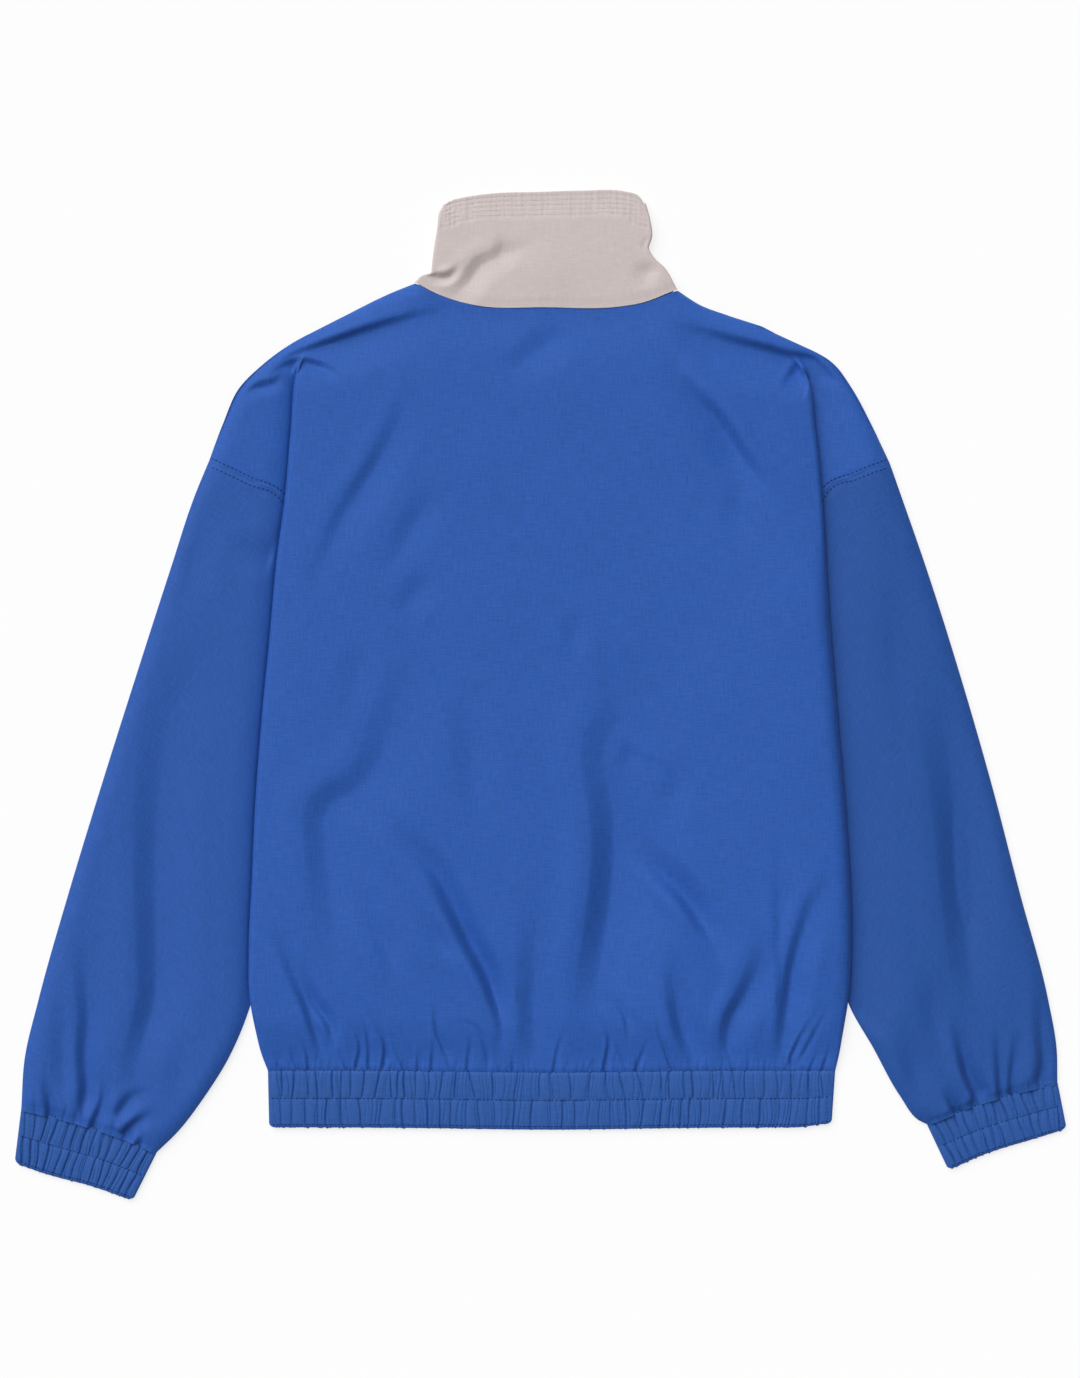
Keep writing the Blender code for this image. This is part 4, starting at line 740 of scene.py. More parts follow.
def hemStrip(side, y):
    # One row below the armpit: the side seam on the floor, up over the sleeve's underarm
    # edge and round the fold. Past the sleeve the side comes down to the floor.
    n, steps = backLook["turnSteps"], backLook["tuckColumns"]
    level = sideLevel(y) - rimDrop(side, y)
    lifted = smooth(y - hemSeamY, *sideFold["lifts"])
    under = sideFold["least"] + (heights["returned"] - sideFold["least"]) * lifted
    radius = (level - under) / 2
    edge = bodyEdgeX(side, y)
    fold = edge - radius
    foot, head = (min(sleeveEdgeX(side, y) - sideFold[key][0], fold - sideFold[key][1])
                  for key in ("foot", "head"))
    full = tuck["atHem"] + (tuck["full"] - tuck["atHem"]) * (y - hemSeamY) / (armpitY - hemSeamY)
    seam = min(edge - full, foot - sideFold["seam"])
    turns = math.pi * np.linspace(0, 1, n + 1)[1:]
    unused = backLook["yokeColumns"] + n
    x = np.concatenate([np.full(unused + 1, seam), [foot], np.linspace(head, fold, steps - 1),
                        fold + radius * np.sin(turns)])
    z = np.concatenate([np.full(unused + 2, heights["floor"]), np.full(steps - 1, under),
                        (level + under) / 2 - radius * np.cos(turns)])
    return np.column_stack([x * outward(side), np.full(len(x), y), z])


def backTop(xy, fromSide, fromShoulder):
    # Height = level of the folded side + fullness, rounded down to both sides, to the hem
    # seam, to the shoulder's outline and to the neck, with creases and gathers all over.
    x, y = xy[..., 0], xy[..., 1]
    fullness = heights["middle"] * smooth(y, hemSeamY + 10, hemSeamY + 120)
    rise = smooth(y, hemSeamY - 2, hemSeamY + 26) ** 0.6
    z = heights["hem"] + (sideLevel(y) + fullness * roundEdge(fromSide, backLook["sideReach"])
                          - heights["hem"]) * rise
    drop = np.where(x > 0, rimDrop("right", y), rimDrop("left", y))
    crown = rim["rise"] / rim["drop"]["right"] * roundEdge(fromSide - rim["start"], rim["reach"]) - 1
    z += drop * crown * (1 - smooth(fromSide, *rim["crown"]))
    relief = creaseRelief(backCreases + hemGathers, xy) + grooves(x, y - hemSeamY, backGathers, 8)
    relief += 0.6 * unevenness(xy, 90, 2) + 0.12 * unevenness(xy, 30, 3)
    z += relief * smooth(fromSide, 0, backLook["sideFade"])
    near = 1 - smooth(distanceTo(neckBack, xy), 0, backLook["neckReach"])
    for sign, end in ((1, neckBack[0][0]), (-1, -neckBack[-1][0])):
        near = near * smooth(sign * x, end - 10, end + 30)
    z = z * (1 - near) + (heights["neck"] + 0.4 * relief) * near
    z += creaseRelief(shoulderCreases, xy)
    z -= backLook["seamDip"] * np.exp(-((y - hemSeamY) / backLook["seamWidth"]) ** 2)
    edge = roundEdge(fromShoulder, backLook["edgeReach"])
    return heights["pressed"] + np.maximum(z - heights["pressed"], 0.2) * edge


def hemSag(x):
    # the hem seam hangs a little lower in the middle of the back, by a Gaussian
    return backLook["sag"] * np.exp(-((x - backLook["sagX"]) / backLook["sagWidth"]) ** 2)


def makeBack():
    # Strips at both sides, row by row, and between them a patch from hem to shoulders and
    # neck. Its height is backTop's; beside the armholes it is the arm's.
    v = (backRows - hemSeamY) / (shoulderY - hemSeamY)
    armpit = int(np.searchsorted(backRows, armpitY))
    left, right = (np.array([hemStrip(side, y) if y < armpitY else tuckStrip(side, y) for y in backRows])
                   for side in ("left", "right"))
    right = right[:, ::-1]
    columns, shoulder = backLook["columns"], backLook["shoulderColumns"]

    def toNeck(side, start):
        outline = [tuple(start)] + shoulders[side][tuckPoint + 1:]
        return alongCurve(outline, np.linspace(0, 1, shoulder + 1))

    outline = np.concatenate([toNeck("left", left[-1, -1, :2]),
                              alongCurve(neckBack, np.linspace(0, 1, columns - 2 * shoulder + 1))[1:-1],
                              toNeck("right", right[-1, 0, :2])[::-1]])
    bottom = np.column_stack([np.linspace(left[0, -1, 0], right[0, 0, 0], columns + 1),
                              np.full(columns + 1, hemSeamY)])
    middle = patch(left[:, -1, :2], right[:, 0, :2], bottom, outline, v)
    u = np.linspace(0, 1, columns + 1)
    sides = left[:, -1, 2:] * (1 - u) + right[:, 0, 2:] * u
    grid = np.concatenate([left[:, :-1], np.dstack([middle, sides]), right[:, 1:]], axis=1)
    xy = grid[..., :2]
    x, y = xy[..., 0], xy[..., 1]
    sag = hemSag(x) * (1 - smooth(y, hemSeamY, hemSeamY + backLook["sagFade"]))
    fromShoulder = np.minimum(distanceTo(shoulders["left"], xy), distanceTo(shoulders["right"], xy))
    fromSide = np.minimum(x + bodyEdgeX("left", y), bodyEdgeX("right", y) - x)
    top = backTop(xy, np.maximum(fromSide, 0), fromShoulder)
    strip = len(left[0]) - 1
    grid[:, strip:-strip, 2] = top[:, strip:-strip]
    opened = smooth(y[armpit:], tuck["top"] - 1, tuck["top"] + 9)
    yoke, hidden = backLook["yokeColumns"], backLook["yokeColumns"] + backLook["turnSteps"]
    for side, part, beside in (("left", slice(0, strip), slice(0, yoke)),
                               ("right", slice(-strip, None), slice(-yoke, None))):
        # beside the armhole the back has the arm's height; where the tuck has opened, the
        # back's height takes over little by little
        arm = armTop(side, xy[armpit:, part])
        own = smooth(fromSide[armpit:, part], backLook["besideFold"], 0)
        joined = arm * (1 - own) + top[armpit:, part] * own
        z = grid[armpit:, part, 2]
        z[:, beside] = arm[:, beside]
        z[:] = z * (1 - opened[:, part]) + joined * opened[:, part]
    grid[..., 1] -= sag
    keep = np.ones((len(backRows) - 1, grid.shape[1] - 1), bool)
    keep[:armpit, :hidden] = keep[:armpit, -hidden:] = False
    return addCloth("backCloth", grid, xy * mm, bodyCloth, keep=keep), grid


# ---- fronts, which lie on the floor ----

def frontNeck(side, count, edgeX, shift=0.0):
    # the lower neck edge from the shoulder to the zip: a straight line minus a half sine
    a, b = np.array(shoulders["left"][-1]), np.array(shoulders["right"][-1])
    reach = (edgeX - a[0]) / (b[0] - a[0])
    t = np.linspace(0 if side == "left" else 1, reach, count)[:, None]
    return a + (b - a) * t + [0, 1] * (shift - zipCut["neckDrop"] * np.sin(np.pi * t))


def neckRise(xy):
    # the slider holds the front of the neck off the floor, inside an ellipse
    a, b = np.array(shoulders["left"][-1]), np.array(shoulders["right"][-1])
    off = (xy - (a + b) / 2) / [(b[0] - a[0]) / 2, zipCut["neckDrop"]]
    return zipCut["neckRise"] * (1 - smooth(np.hypot(off[..., 0], off[..., 1]), 1, 1.35))


# the fronts' own creases, which don't show from above
frontCreases = {
    "left": [
        ([(300, 480), (340, 560), (400, 640)], 7, 24, 1.6, 0.5, 1),
        ([(330, 700), (345, 820), (335, 950)], 7, 24, 1.8, 0.6, 0.8),
        ([(430, 760), (455, 880), (450, 1000)], 6, 20, 1.5, 0.6, 0.7),
        ([(500, 600), (480, 700), (490, 820)], 7, 22, 1.2, 0.5, 1),
        ([(290, 960), (310, 1010), (322, 1066)], 4, 14, 1.6, 0.7, 0.7),
    ],
    "right": [
        ([(770, 470), (735, 560), (690, 610)], 7, 24, 1.5, 0.5, 1),
        ([(640, 620), (655, 760), (640, 860)], 8, 26, 1.6, 0.5, 0.9),
        ([(760, 720), (742, 850), (750, 990)], 7, 22, 1.9, 0.6, 0.8),
        ([(610, 880), (625, 960), (618, 1050)], 5, 18, 1.4, 0.7, 0.7),
        ([(800, 930), (782, 1000), (776, 1066)], 4, 14, 1.7, 0.7, 0.7),
    ],
}


frontLook = {"sideRows": 100, "holeRows": 60, "shoulderColumns": 90, "neckColumns": 60, "belowArmpit": 10,
             "seamOverlap": 1, "bowFade": 4, "inset": 12}


def makeFront(side):
    # Height = floor + what the slider lifts + creases, which rise from the table inward.
    look, sign = frontLook, outward(side)
    rows = np.linspace(hemSeamY, armpitY - look["belowArmpit"], look["sideRows"])
    share = (rows - hemSeamY) / (armpitY - hemSeamY)
    seam = bodyEdgeX(side, rows) - tuck["atHem"] - (tuck["full"] - tuck["atHem"]) * share
    hole = seamEnd(side, np.linspace(armpitY, shoulderY, look["holeRows"]))
    edge = np.concatenate([np.column_stack([sign * (seam - look["seamOverlap"]), rows]), hole[1:]])
    v = lengthAlong(edge) / lengthAlong(edge)[-1]
    edgeX = zipCut["x"] + sign * zipCut["halfGap"]
    neck = frontNeck(side, look["neckColumns"], edgeX)
    top = np.concatenate([alongCurve(shoulders[side], np.linspace(0, 1, look["shoulderColumns"])), neck[1:]])
    middle = np.column_stack([np.full(len(v), edgeX), hemSeamY + (neck[-1, 1] - hemSeamY) * v])
    bottom = np.column_stack([np.linspace(edge[0, 0], edgeX, len(top)), np.full(len(top), hemSeamY)])
    xy = patch(edge, middle, bottom, top, v, look["bowFade"])
    inset = 1 - smooth(distanceTo(shoulders[side], xy), 0, look["inset"])
    xy = xy - np.array([sign, 1]) * inset[..., None]
    gathers = grooves(xy[..., 0], xy[..., 1] - hemSeamY, backGathers, 11)
    creases = np.maximum(-creaseRelief(frontCreases[side], xy) - gathers, 0)
    grid = np.dstack([xy, heights["floor"] + neckRise(xy) + creases])
    return addCloth("frontCloth_" + side, grid, xy * mm, bodyCloth, faceDown=True)


# ---- sleeves ----

sleeveLook = {"rows": 235, "columns": 104, "underColumns": 60, "turnColumns": 5, "turn": 1.6,
              "length": 560, "clothLength": 0.58, "gatherReach": 24, "edgeFade": 12, "seamDip": 1.6,
              "seamWidth": 9, "least": 1, "sewnIn": 1.1, "endLift": 0.4, "foldsFrom": (1.5, 2.5)}
# creases of the lower walls, which rise from the floor; these don't show from above
underCreases = {
    "left": [
        ([(250, 560), (190, 700), (150, 860)], 6, 20, 0.9, 0.5, 1),
        ([(150, 900), (120, 1010), (104, 1110)], 5, 16, 1.3, 0.6, 0.8),
        ([(190, 930), (170, 1030), (140, 1120)], 5, 16, 1.1, 0.6, 0.8),
    ],
    "right": [
        ([(850, 560), (900, 690), (925, 840)], 6, 20, 0.9, 0.5, 1),
        ([(930, 880), (960, 980), (985, 1080)], 5, 16, 1.3, 0.6, 0.8),
        ([(890, 900), (915, 1010), (950, 1100)], 5, 16, 1.1, 0.6, 0.8),
    ],
}


def makeSleeve(side):
    # A flattened tube. Each ring runs across the floor, up the outer edge, over the top
    # and down the underarm edge; the first follows the armhole, the last the cuff's seam.
    look = sleeveLook
    v = np.linspace(0, 1, look["rows"])[:, None]
    outer, inner = (alongCurve(edge[side], v) for edge in (sleeveOuter, sleeveInner))
    width = np.linalg.norm(inner - outer, axis=-1)
    share = tubeShares(look, width)
    f = share[..., None]
    xy = outer * (1 - f) + inner * f
    hole = seamEnd(side, np.linspace(shoulderY, armpitY, 60))
    for line, fade in ((hole, 1 - v), (np.array(cuffSeam[side]), v)):
        xy += (alongCurve(line, share) - (line[0] * (1 - f) + line[-1] * f)) * fade[..., None] ** 3
    across, along = share * width, (1 - v) * look["length"]
    wall, below = upperColumns(look, "underColumns"), slice(0, look["underColumns"])
    top = armTop(side, xy[:, wall])
    fullEdges = smooth(np.minimum(across, width - across)[:, wall], 0, look["edgeFade"])
    upper, lower = (grooves(across[:, part], along / look["gatherReach"], cuffGathers, seed + outward(side))
                    for part, seed in ((wall, 21), (below, 31)))
    top += upper * fullEdges
    top = np.maximum(top, heights["pressed"] * 0.6)
    top = top - look["seamDip"] * (1 - smooth(along, 0, look["seamWidth"])) * fullEdges
    top = np.maximum(top, look["least"])
    folds = np.maximum(-creaseRelief(underCreases[side], xy[:, below]) - lower, 0)
    floor = np.full((len(v), 1), heights["floor"])
    xy[-1] += look["sewnIn"] * (xy[-1] - xy[-2])      # the end is sewn inside the cuff
    floor[-1] += look["endLift"]
    folds = floor + folds * smooth(top[:, ::2].min(1, keepdims=True), *look["foldsFrom"])
    grid = np.dstack([xy, np.concatenate([folds] + upAndOver(floor, top, look), 1)])
    uv = tubeUv(share, width, look, -v * look["clothLength"])
    return addCloth("sleeveCloth_" + side, grid, uv, sleeveCloth[side], ring=True), grid[:, wall]


# ---- shirred bands ----

shirring = {"seam": 0.7, "arch": 0.5, "groove": 1.5, "width": 0.62, "fine": 0.75, "fineWidth": 0.5,
            "finePitch": 2.7, "sway": 0.5, "roll": 1.1, "edge": 0.4, "edgeFade": 5, "underPitch": 11,
            "underShare": 0.7, "corner": 3.6}


def bandGrooves(across, places, depths, width):
    # Gaussian grooves; only the nearest of the places counts at each point
    nearest = np.clip(np.searchsorted(places, across), 1, len(places) - 1)
    nearest = nearest - (across - places[nearest - 1] < places[nearest] - across)
    return depths[nearest] * np.exp(-((across - places[nearest]) / width) ** 2)


def shirredHeight(across, down, places, slants, seed):
    # Two casings, one under the other. Each is arched between its stitch rows, and has
    # main grooves at its places and fine pleats between; both sway a little on their way.
    across, down = np.broadcast_arrays(across, down)
    low, high = across.min(), across.max()
    total = np.zeros(across.shape)
    rng = np.random.default_rng(seed)
    for casing in (0, 1):
        within = down * 2 - casing
        inside = (within >= 0) & ((within <= 1) if casing else (within < 1))
        slanted = across - np.interp(across, places[casing], slants[casing]) * within
        sway = shirring["sway"] * np.sin(within * 4 + across / 9)
        main = np.concatenate([[low - 9], places[casing], [high + 9]])
        depths = shirring["groove"] * rng.uniform(0.55, 1.15, len(main))
        count = int((high - low) / shirring["finePitch"])
        fine = np.sort(rng.uniform(low, high, count))
        fineDepths = shirring["fine"] * rng.uniform(0, 1.2, count)
        pleats = (bandGrooves(slanted + sway, main, depths, shirring["width"])
                  + bandGrooves(across + 2 * sway, fine, fineDepths, shirring["fineWidth"]))
        phase = np.interp(slanted + sway, main, np.arange(len(main)))
        arch = shirring["arch"] * np.abs(np.sin(np.pi * phase)) ** 0.6
        pinch = np.clip(4 * within * (1 - within), 0, 1) ** 0.4
        total += inside * (shirring["seam"] * pinch + (arch - pleats) * (0.55 + 0.45 * pinch))
    return total


def upperShirring(across, down, fromEdge, places, slants, seed):
    # the shirring of an upper wall, lower where it turns down at its edges
    full = shirring["edge"] + (1 - shirring["edge"]) * smooth(fromEdge, 0, shirring["edgeFade"])
    return shirredHeight(across, down, places, slants, seed) * full


def cornerInset(down, depth):
    # how far a band's side moves in towards its lower edge, on a quarter circle
    t = np.clip((down - 1) * depth / shirring["corner"] + 1, 0, 1)
    return shirring["corner"] * (1 - np.sqrt(1 - 0.9 * t * t))


def shirredUnder(across, down, seed):
    # the same shirring on the side that lies on the table: its grooves rise from the floor
    rng = np.random.default_rng(seed)
    low, high = across.min(), across.max()
    count = int((high - low) / shirring["underPitch"])
    places = [np.sort(rng.uniform(low + 4, high - 4, count)) for _ in range(2)]
    slants = [rng.uniform(-2, 2, count) for _ in range(2)]
    shirred = shirredHeight(across, down, places, slants, seed)
    inner = smooth(np.minimum(across - low, high - across), 0, 4)
    return heights["floor"] + shirring["underShare"] * (shirred.max() - shirred) * inner


# where the main grooves of the hem band start and end, in photo pixels along each casing
hemPleats = [
    [(283, 281), (295, 292), (306, 310), (315, 320), (333, 333), (343, 340), (352, 350), (365, 362),
     (380, 375), (390, 394), (399, 397), (405, 405), (417, 415), (430, 428), (443, 440), (456, 456),
     (469, 478), (493, 493), (518, 515), (541, 540), (551, 554), (569, 573), (590, 590), (606, 609),
     (620, 625), (637, 646), (660, 666), (669, 671), (685, 686), (693, 694), (712, 716), (722, 725),
     (732, 740), (745, 747), (765, 765), (776, 780), (790, 794), (808, 812), (821, 825)],
    [(281, 280), (292, 291), (304, 306), (318, 318), (327, 325), (341, 341), (359, 361), (382, 379),
     (396, 396), (403, 403), (416, 415), (428, 428), (440, 441), (451, 452), (467, 467), (479, 480),
     (495, 495), (515, 515), (533, 532), (552, 552), (564, 563), (575, 577), (601, 601), (612, 612),
     (627, 628), (645, 643), (663, 663), (673, 671), (684, 682), (692, 690), (703, 702), (727, 727),
     (745, 745), (763, 761), (781, 781), (793, 793), (810, 810), (822, 822)],
]
hemLook = {"columns": 860, "frontColumns": 230, "rows": 46, "depth": 45.5, "turnColumns": 6, "turn": 2.0,
           "taperLeft": 1, "taperRight": 3, "corner": 2.8, "cornerReach": 25, "base": 4.0, "seamDip": 0.9}


def makeHemBand():
    # From the zip along one front, round the side, across the back, and back to the zip.
    look = hemLook
    down = np.linspace(0, 1, look["rows"])[:, None]
    turn, bulge = look["turn"], halfTurn(look)[0]
    inset = cornerInset(down, look["depth"])
    left = bodySides["left"][0] + look["taperLeft"] * down + turn + inset
    right = bodySides["right"][0] - look["taperRight"] * down - turn - inset
    fronts = np.linspace(0, 1, look["frontColumns"])
    over = left + (right - left) * np.linspace(0, 1, look["columns"])
    gapLeft, gapRight = zipCut["x"] - zipCut["halfGap"], zipCut["x"] + zipCut["halfGap"]
    x = np.concatenate([gapLeft + (left - gapLeft) * fronts, left - turn * bulge, over,
                        right + turn * bulge, right + (gapRight - right) * fronts], 1)
    y = hemSeamY + 1 - down * (look["depth"] + 1.5) - hemSag(x)
    y = y + look["corner"] * down * smooth(x, right - look["cornerReach"], right + turn)
    places = [fromPhoto(casing)[:, 0] for casing in hemPleats]
    slants = [np.diff(casing)[:, 0] * photo["millimetresPerPixel"] for casing in hemPleats]
    top = look["base"] + upperShirring(over[:1], down, np.minimum(over - left, right - over), places,
                                       slants, 40)
    top = top - look["seamDip"] * np.exp(-(down * look["depth"] / backLook["seamWidth"]) ** 2)
    count = look["frontColumns"]
    first, last = shirredUnder(x[:, :count], down, 50), shirredUnder(x[:, -count:], down, 51)
    z = np.concatenate([first] + upAndOver(heights["floor"], top, look) + [last], 1)
    grid = np.dstack([x, y, z])
    shaped = rolled(grid, grid.shape[1] // 2, shirring["roll"])
    piece = addCloth("hemBandCloth", shaped, bandUv(shaped, 1.0), bandCloth)
    return piece, grid[:, upperColumns(look, "frontColumns")]


# the cuffs' main grooves at the seam, the middle row and the end, as shares from the
# sleeve's outer edge to its underarm edge
cuffPleats = {
    "left": [(0.04, 0.05, 0.06), (0.12, 0.11, 0.12), (0.20, 0.17, 0.18), (0.27, 0.25, 0.24),
             (0.35, 0.35, 0.33), (0.41, 0.41, 0.40), (0.49, 0.48, 0.47), (0.56, 0.55, 0.55),
             (0.62, 0.62, 0.61), (0.68, 0.68, 0.69), (0.76, 0.74, 0.73), (0.82, 0.81, 0.80),
             (0.88, 0.87, 0.88), (0.94, 0.94, 0.94)],
    "right": [(0.05, 0.04, 0.05), (0.11, 0.12, 0.11), (0.20, 0.19, 0.19), (0.28, 0.26, 0.26),
              (0.34, 0.35, 0.34), (0.44, 0.42, 0.42), (0.50, 0.51, 0.50), (0.57, 0.57, 0.58),
              (0.66, 0.64, 0.64), (0.73, 0.73, 0.72), (0.79, 0.80, 0.80), (0.86, 0.86, 0.87),
              (0.94, 0.93, 0.93)],
}
cuffLook = {"columns": 230, "underColumns": 130, "rows": 44, "turnColumns": 6, "turn": 1.9, "base": 3.6,
            "depth": 45}


def makeCuff(side):
    # A flattened tube between the sleeve's seam and the cuff's own end.
    look = cuffLook
    down = np.linspace(0.01, 1, look["rows"])[:, None]

    def across(u):
        # shares as places; towards the end the tube's edges move in round a corner
        fromMiddle = 2 * u - 1
        u = u - fromMiddle * np.abs(fromMiddle) ** 10 * cornerInset(down, look["depth"]) / 100
        return (alongCurve(cuffSeam[side], u) * (1 - down[..., None])
                + alongCurve(cuffEnd[side], u) * down[..., None])

    ends = across(np.broadcast_to([0.0, 1.0], (len(down), 2)))
    width = np.linalg.norm(ends[:, 1] - ends[:, 0], axis=1)[:, None]
    u = tubeShares(look, width)
    wall, middleWidth = upperColumns(look, "underColumns"), width[len(down) // 2, 0]
    place = u[:, wall] * width
    marks = np.array(cuffPleats[side]).T
    places = [marks[k] * middleWidth for k in (0, 1)]
    slants = [(marks[k + 1] - marks[k]) * middleWidth for k in (0, 1)]
    top = look["base"] + upperShirring(u[:1, wall] * middleWidth, down, np.minimum(place, width - place),
                                       places, slants, 60)
    below = shirredUnder((u[:, :look["underColumns"]] * width)[:, ::-1], down, 52 + outward(side))[:, ::-1]
    z = np.concatenate([below] + upAndOver(heights["floor"], top, look), 1)
    grid = np.dstack([across(u), z])
    shaped = rolled(grid, wall.start + look["columns"] // 2, shirring["roll"], True)
    uv = tubeUv(u, width, look, np.arange(len(shaped))[:, None] * mm)
    return addCloth("cuffCloth_" + side, shaped, uv, bandCloth, ring=True), grid[:, wall]


# ---- collar ----

collarLook = {"rows": 84, "columns": 150, "frontColumns": 26, "turnColumns": 6, "turn": 1.5,
              "frontDip": 40, "front": 2.4, "stitchRows": [2.5, 6.5, 10.5, 14.5, 18.5], "stitchDip": 0.27,
              "stitchWidth": 0.8, "roll": 1.0, "bump": 1.2, "bumpY": 352, "bumpReach": (30, 22),
              "overNeck": 0.7, "rise": 0.6, "topDrop": 1.8, "overlap": 0.8, "puckered": (18, 23),
              "unevenness": 0.3}
collarPuckers = {"pitch": 2.8, "depth": 0.5, "width": 0.7, "slant": 0.5, "reach": 2}
collarSides = {
    "left": [(415, 283), (421, 277), (431, 273), (432, 266), (434, 250), (437.5, 228), (439.5, 213),
             (443.5, 205.5)],
    "right": [(677, 290), (665, 269), (653, 257), (649, 249), (652, 238), (650, 220), (646, 205)],
}
collarTop = [(443.5, 205.5), (450, 202), (460, 199.7), (496, 195), (534, 194), (582, 192.6), (626, 193.4),
             (639, 197), (646, 205)]


def makeCollar():
    # Folded flat: the back layer over two front layers, joined round both sides. Rows of
    # stitching near the top edge dip into it, with fine puckers between them.
    look = collarLook
    v = np.linspace(0, 1, look["rows"])
    rows = v[:, None]
    left, right = (alongCurve(fromPhoto(collarSides[side]), v) for side in ("left", "right"))
    topEdge = fromPhoto(collarTop)
    edges = {"left": left + [look["turn"], 0], "right": right - [look["turn"], 0]}
    across = np.linspace(0, 1, look["columns"])
    low, high = alongCurve(neckBack, across), alongCurve(topEdge, across)
    back = patch(edges["left"], edges["right"], low, high, v, 1)
    fromTop = distanceTo(topEdge, back)
    x = back[..., 0]
    inside = smooth(np.minimum(x - x[:, :1], x[:, -1:] - x), 0, 4)
    off = (back - [zipCut["x"], look["bumpY"]]) / look["bumpReach"]
    bump = look["bump"] * np.exp(-(off ** 2).sum(-1))          # the slider below
    base = (heights["neck"] + look["overNeck"] + look["rise"] * smooth(rows, 0, 0.1)
            - look["topDrop"] * smooth(rows, 0.75, 1))
    back[..., 1] -= look["overlap"] * (1 - smooth(rows, 0, 0.06))
    dips = sum(np.exp(-((fromTop - place) / look["stitchWidth"]) ** 2) for place in look["stitchRows"])
    puckers = grooves(x, fromTop / 20, collarPuckers, 70) * (1 - smooth(fromTop, *look["puckered"]))
    relief = creaseRelief(collarCreases, back) + look["unevenness"] * unevenness(back, 45, 9)
    z = base + bump + inside * (relief + puckers - look["stitchDip"] * dips)
    a, b = topEdge[0], topEdge[-1]
    bulge, climb = halfTurn(look)
    fronts, folds = {}, {}
    for side, sideZ, line in (("left", z[:, :1], left), ("right", z[:, -1:], right)):
        edgeX = zipCut["x"] + outward(side) * zipCut["halfGap"]
        low = frontNeck(side, look["frontColumns"], edgeX, 0.5)
        t = np.linspace(0 if side == "left" else 1, (edgeX - a[0]) / (b[0] - a[0]), len(low))[:, None]
        high = a + (b - a) * t - [0, look["frontDip"]] * np.sin(np.pi * t) ** 0.8
        zipEdge = np.column_stack([np.full(len(v), edgeX), np.linspace(low[-1, 1], high[-1, 1], len(v))])
        xy = patch(edges[side], zipEdge, low, high, v, 1)
        fronts[side] = np.dstack([xy, np.full(xy.shape[:2], look["front"])])
        folds[side] = np.dstack(np.broadcast_arrays(
            edges[side][:, :1] + outward(side) * look["turn"] * bulge, line[:, 1:],
            look["front"] + (sideZ - look["front"]) * climb))
    grid = np.concatenate([fronts["left"][:, ::-1], folds["left"], np.dstack([back, z]),
                           folds["right"][:, ::-1], fronts["right"]], 1)
    shaped = rolled(grid, grid.shape[1] // 2, look["roll"])
    piece = addCloth("collarCloth", shaped, bandUv(shaped, 1.1), collarCloth)
    return piece, grid[:, upperColumns(look, "frontColumns")]


# ---- zip ----

zipLook = {"tapeEdge": 2.2, "tapeMiddle": 8, "tapeWidth": 14, "tapeTop": 352, "wall": 0.6, "pitch": 1.8,
           "coilWidth": 3.0, "coilHeight": 1.5, "wire": 0.7, "coilGap": 0.2, "low": -343, "high": 341,
           "bodyMid": 1.65, "collarMid": 3.9}


def tapeMid(y):
    # the middle height of the tape: low along the body, higher along the collar
    neckY = shoulders["left"][-1][1] - zipCut["neckDrop"]
    return zipLook["bodyMid"] + (zipLook["collarMid"] - zipLook["bodyMid"]) * smooth(y, neckY - 60, neckY - 8)


def makeZipTape(side):
    # a flat tape: a closed band round its own section, at the tape's height
    y = np.concatenate([np.linspace(zipLook["low"], 190, 60), np.linspace(195, zipLook["tapeTop"], 40)])
    y = y[:, None]
    x = np.array([zipLook[key] for key in ("tapeEdge", "tapeMiddle", "tapeWidth")])
    half = np.full(3, zipLook["wall"] / 2)
    grid = np.dstack(np.broadcast_arrays(zipCut["x"] + outward(side) * np.concatenate([x, x[::-1]]), y,
                                         tapeMid(y) + np.concatenate([-half, half])))
    uv = np.dstack(np.broadcast_arrays(np.array([0, 6, 12, 12.6, 18, 24, 24.6]), y)) * mm
    return addCloth("zipTapeCloth_" + side, grid, uv, tapeCloth, ring=True)


def makeZipCoil(side, material):
    # A flattened helix: a wire of four-sided section round an ellipse, one turn a tooth.
    perTurn = 10
    turns = int((zipLook["high"] - zipLook["low"]) / zipLook["pitch"])
    t = np.arange(turns * perTurn + 1) / perTurn
    angle = 2 * math.pi * t
    y = zipLook["low"] + t * zipLook["pitch"] + (0.45 if side == "left" else -0.45) * zipLook["pitch"]
    wide, high = ((zipLook[key] - zipLook["wire"]) / 2 for key in ("coilWidth", "coilHeight"))
    centreX = zipCut["x"] + outward(side) * (zipLook["coilGap"] + zipLook["coilWidth"] / 2)
    path = np.column_stack([centreX + wide * np.cos(angle), y, tapeMid(y) + high * np.sin(angle)])
    out = np.column_stack([np.cos(angle), np.zeros(len(t)), np.sin(angle)])
    corners = (np.arange(4) * math.pi / 2 + math.pi / 4)[:, None]
    section = np.cos(corners) * out[:, None] + np.sin(corners) * np.array([0.0, 1.0, 0.0])
    grid = path[:, None] + zipLook["wire"] / 2 * section
    return addCloth("zipCoil_" + side, grid, np.zeros((len(grid), 5, 2)), material, ring=True)


# ---- putting the jacket together ----

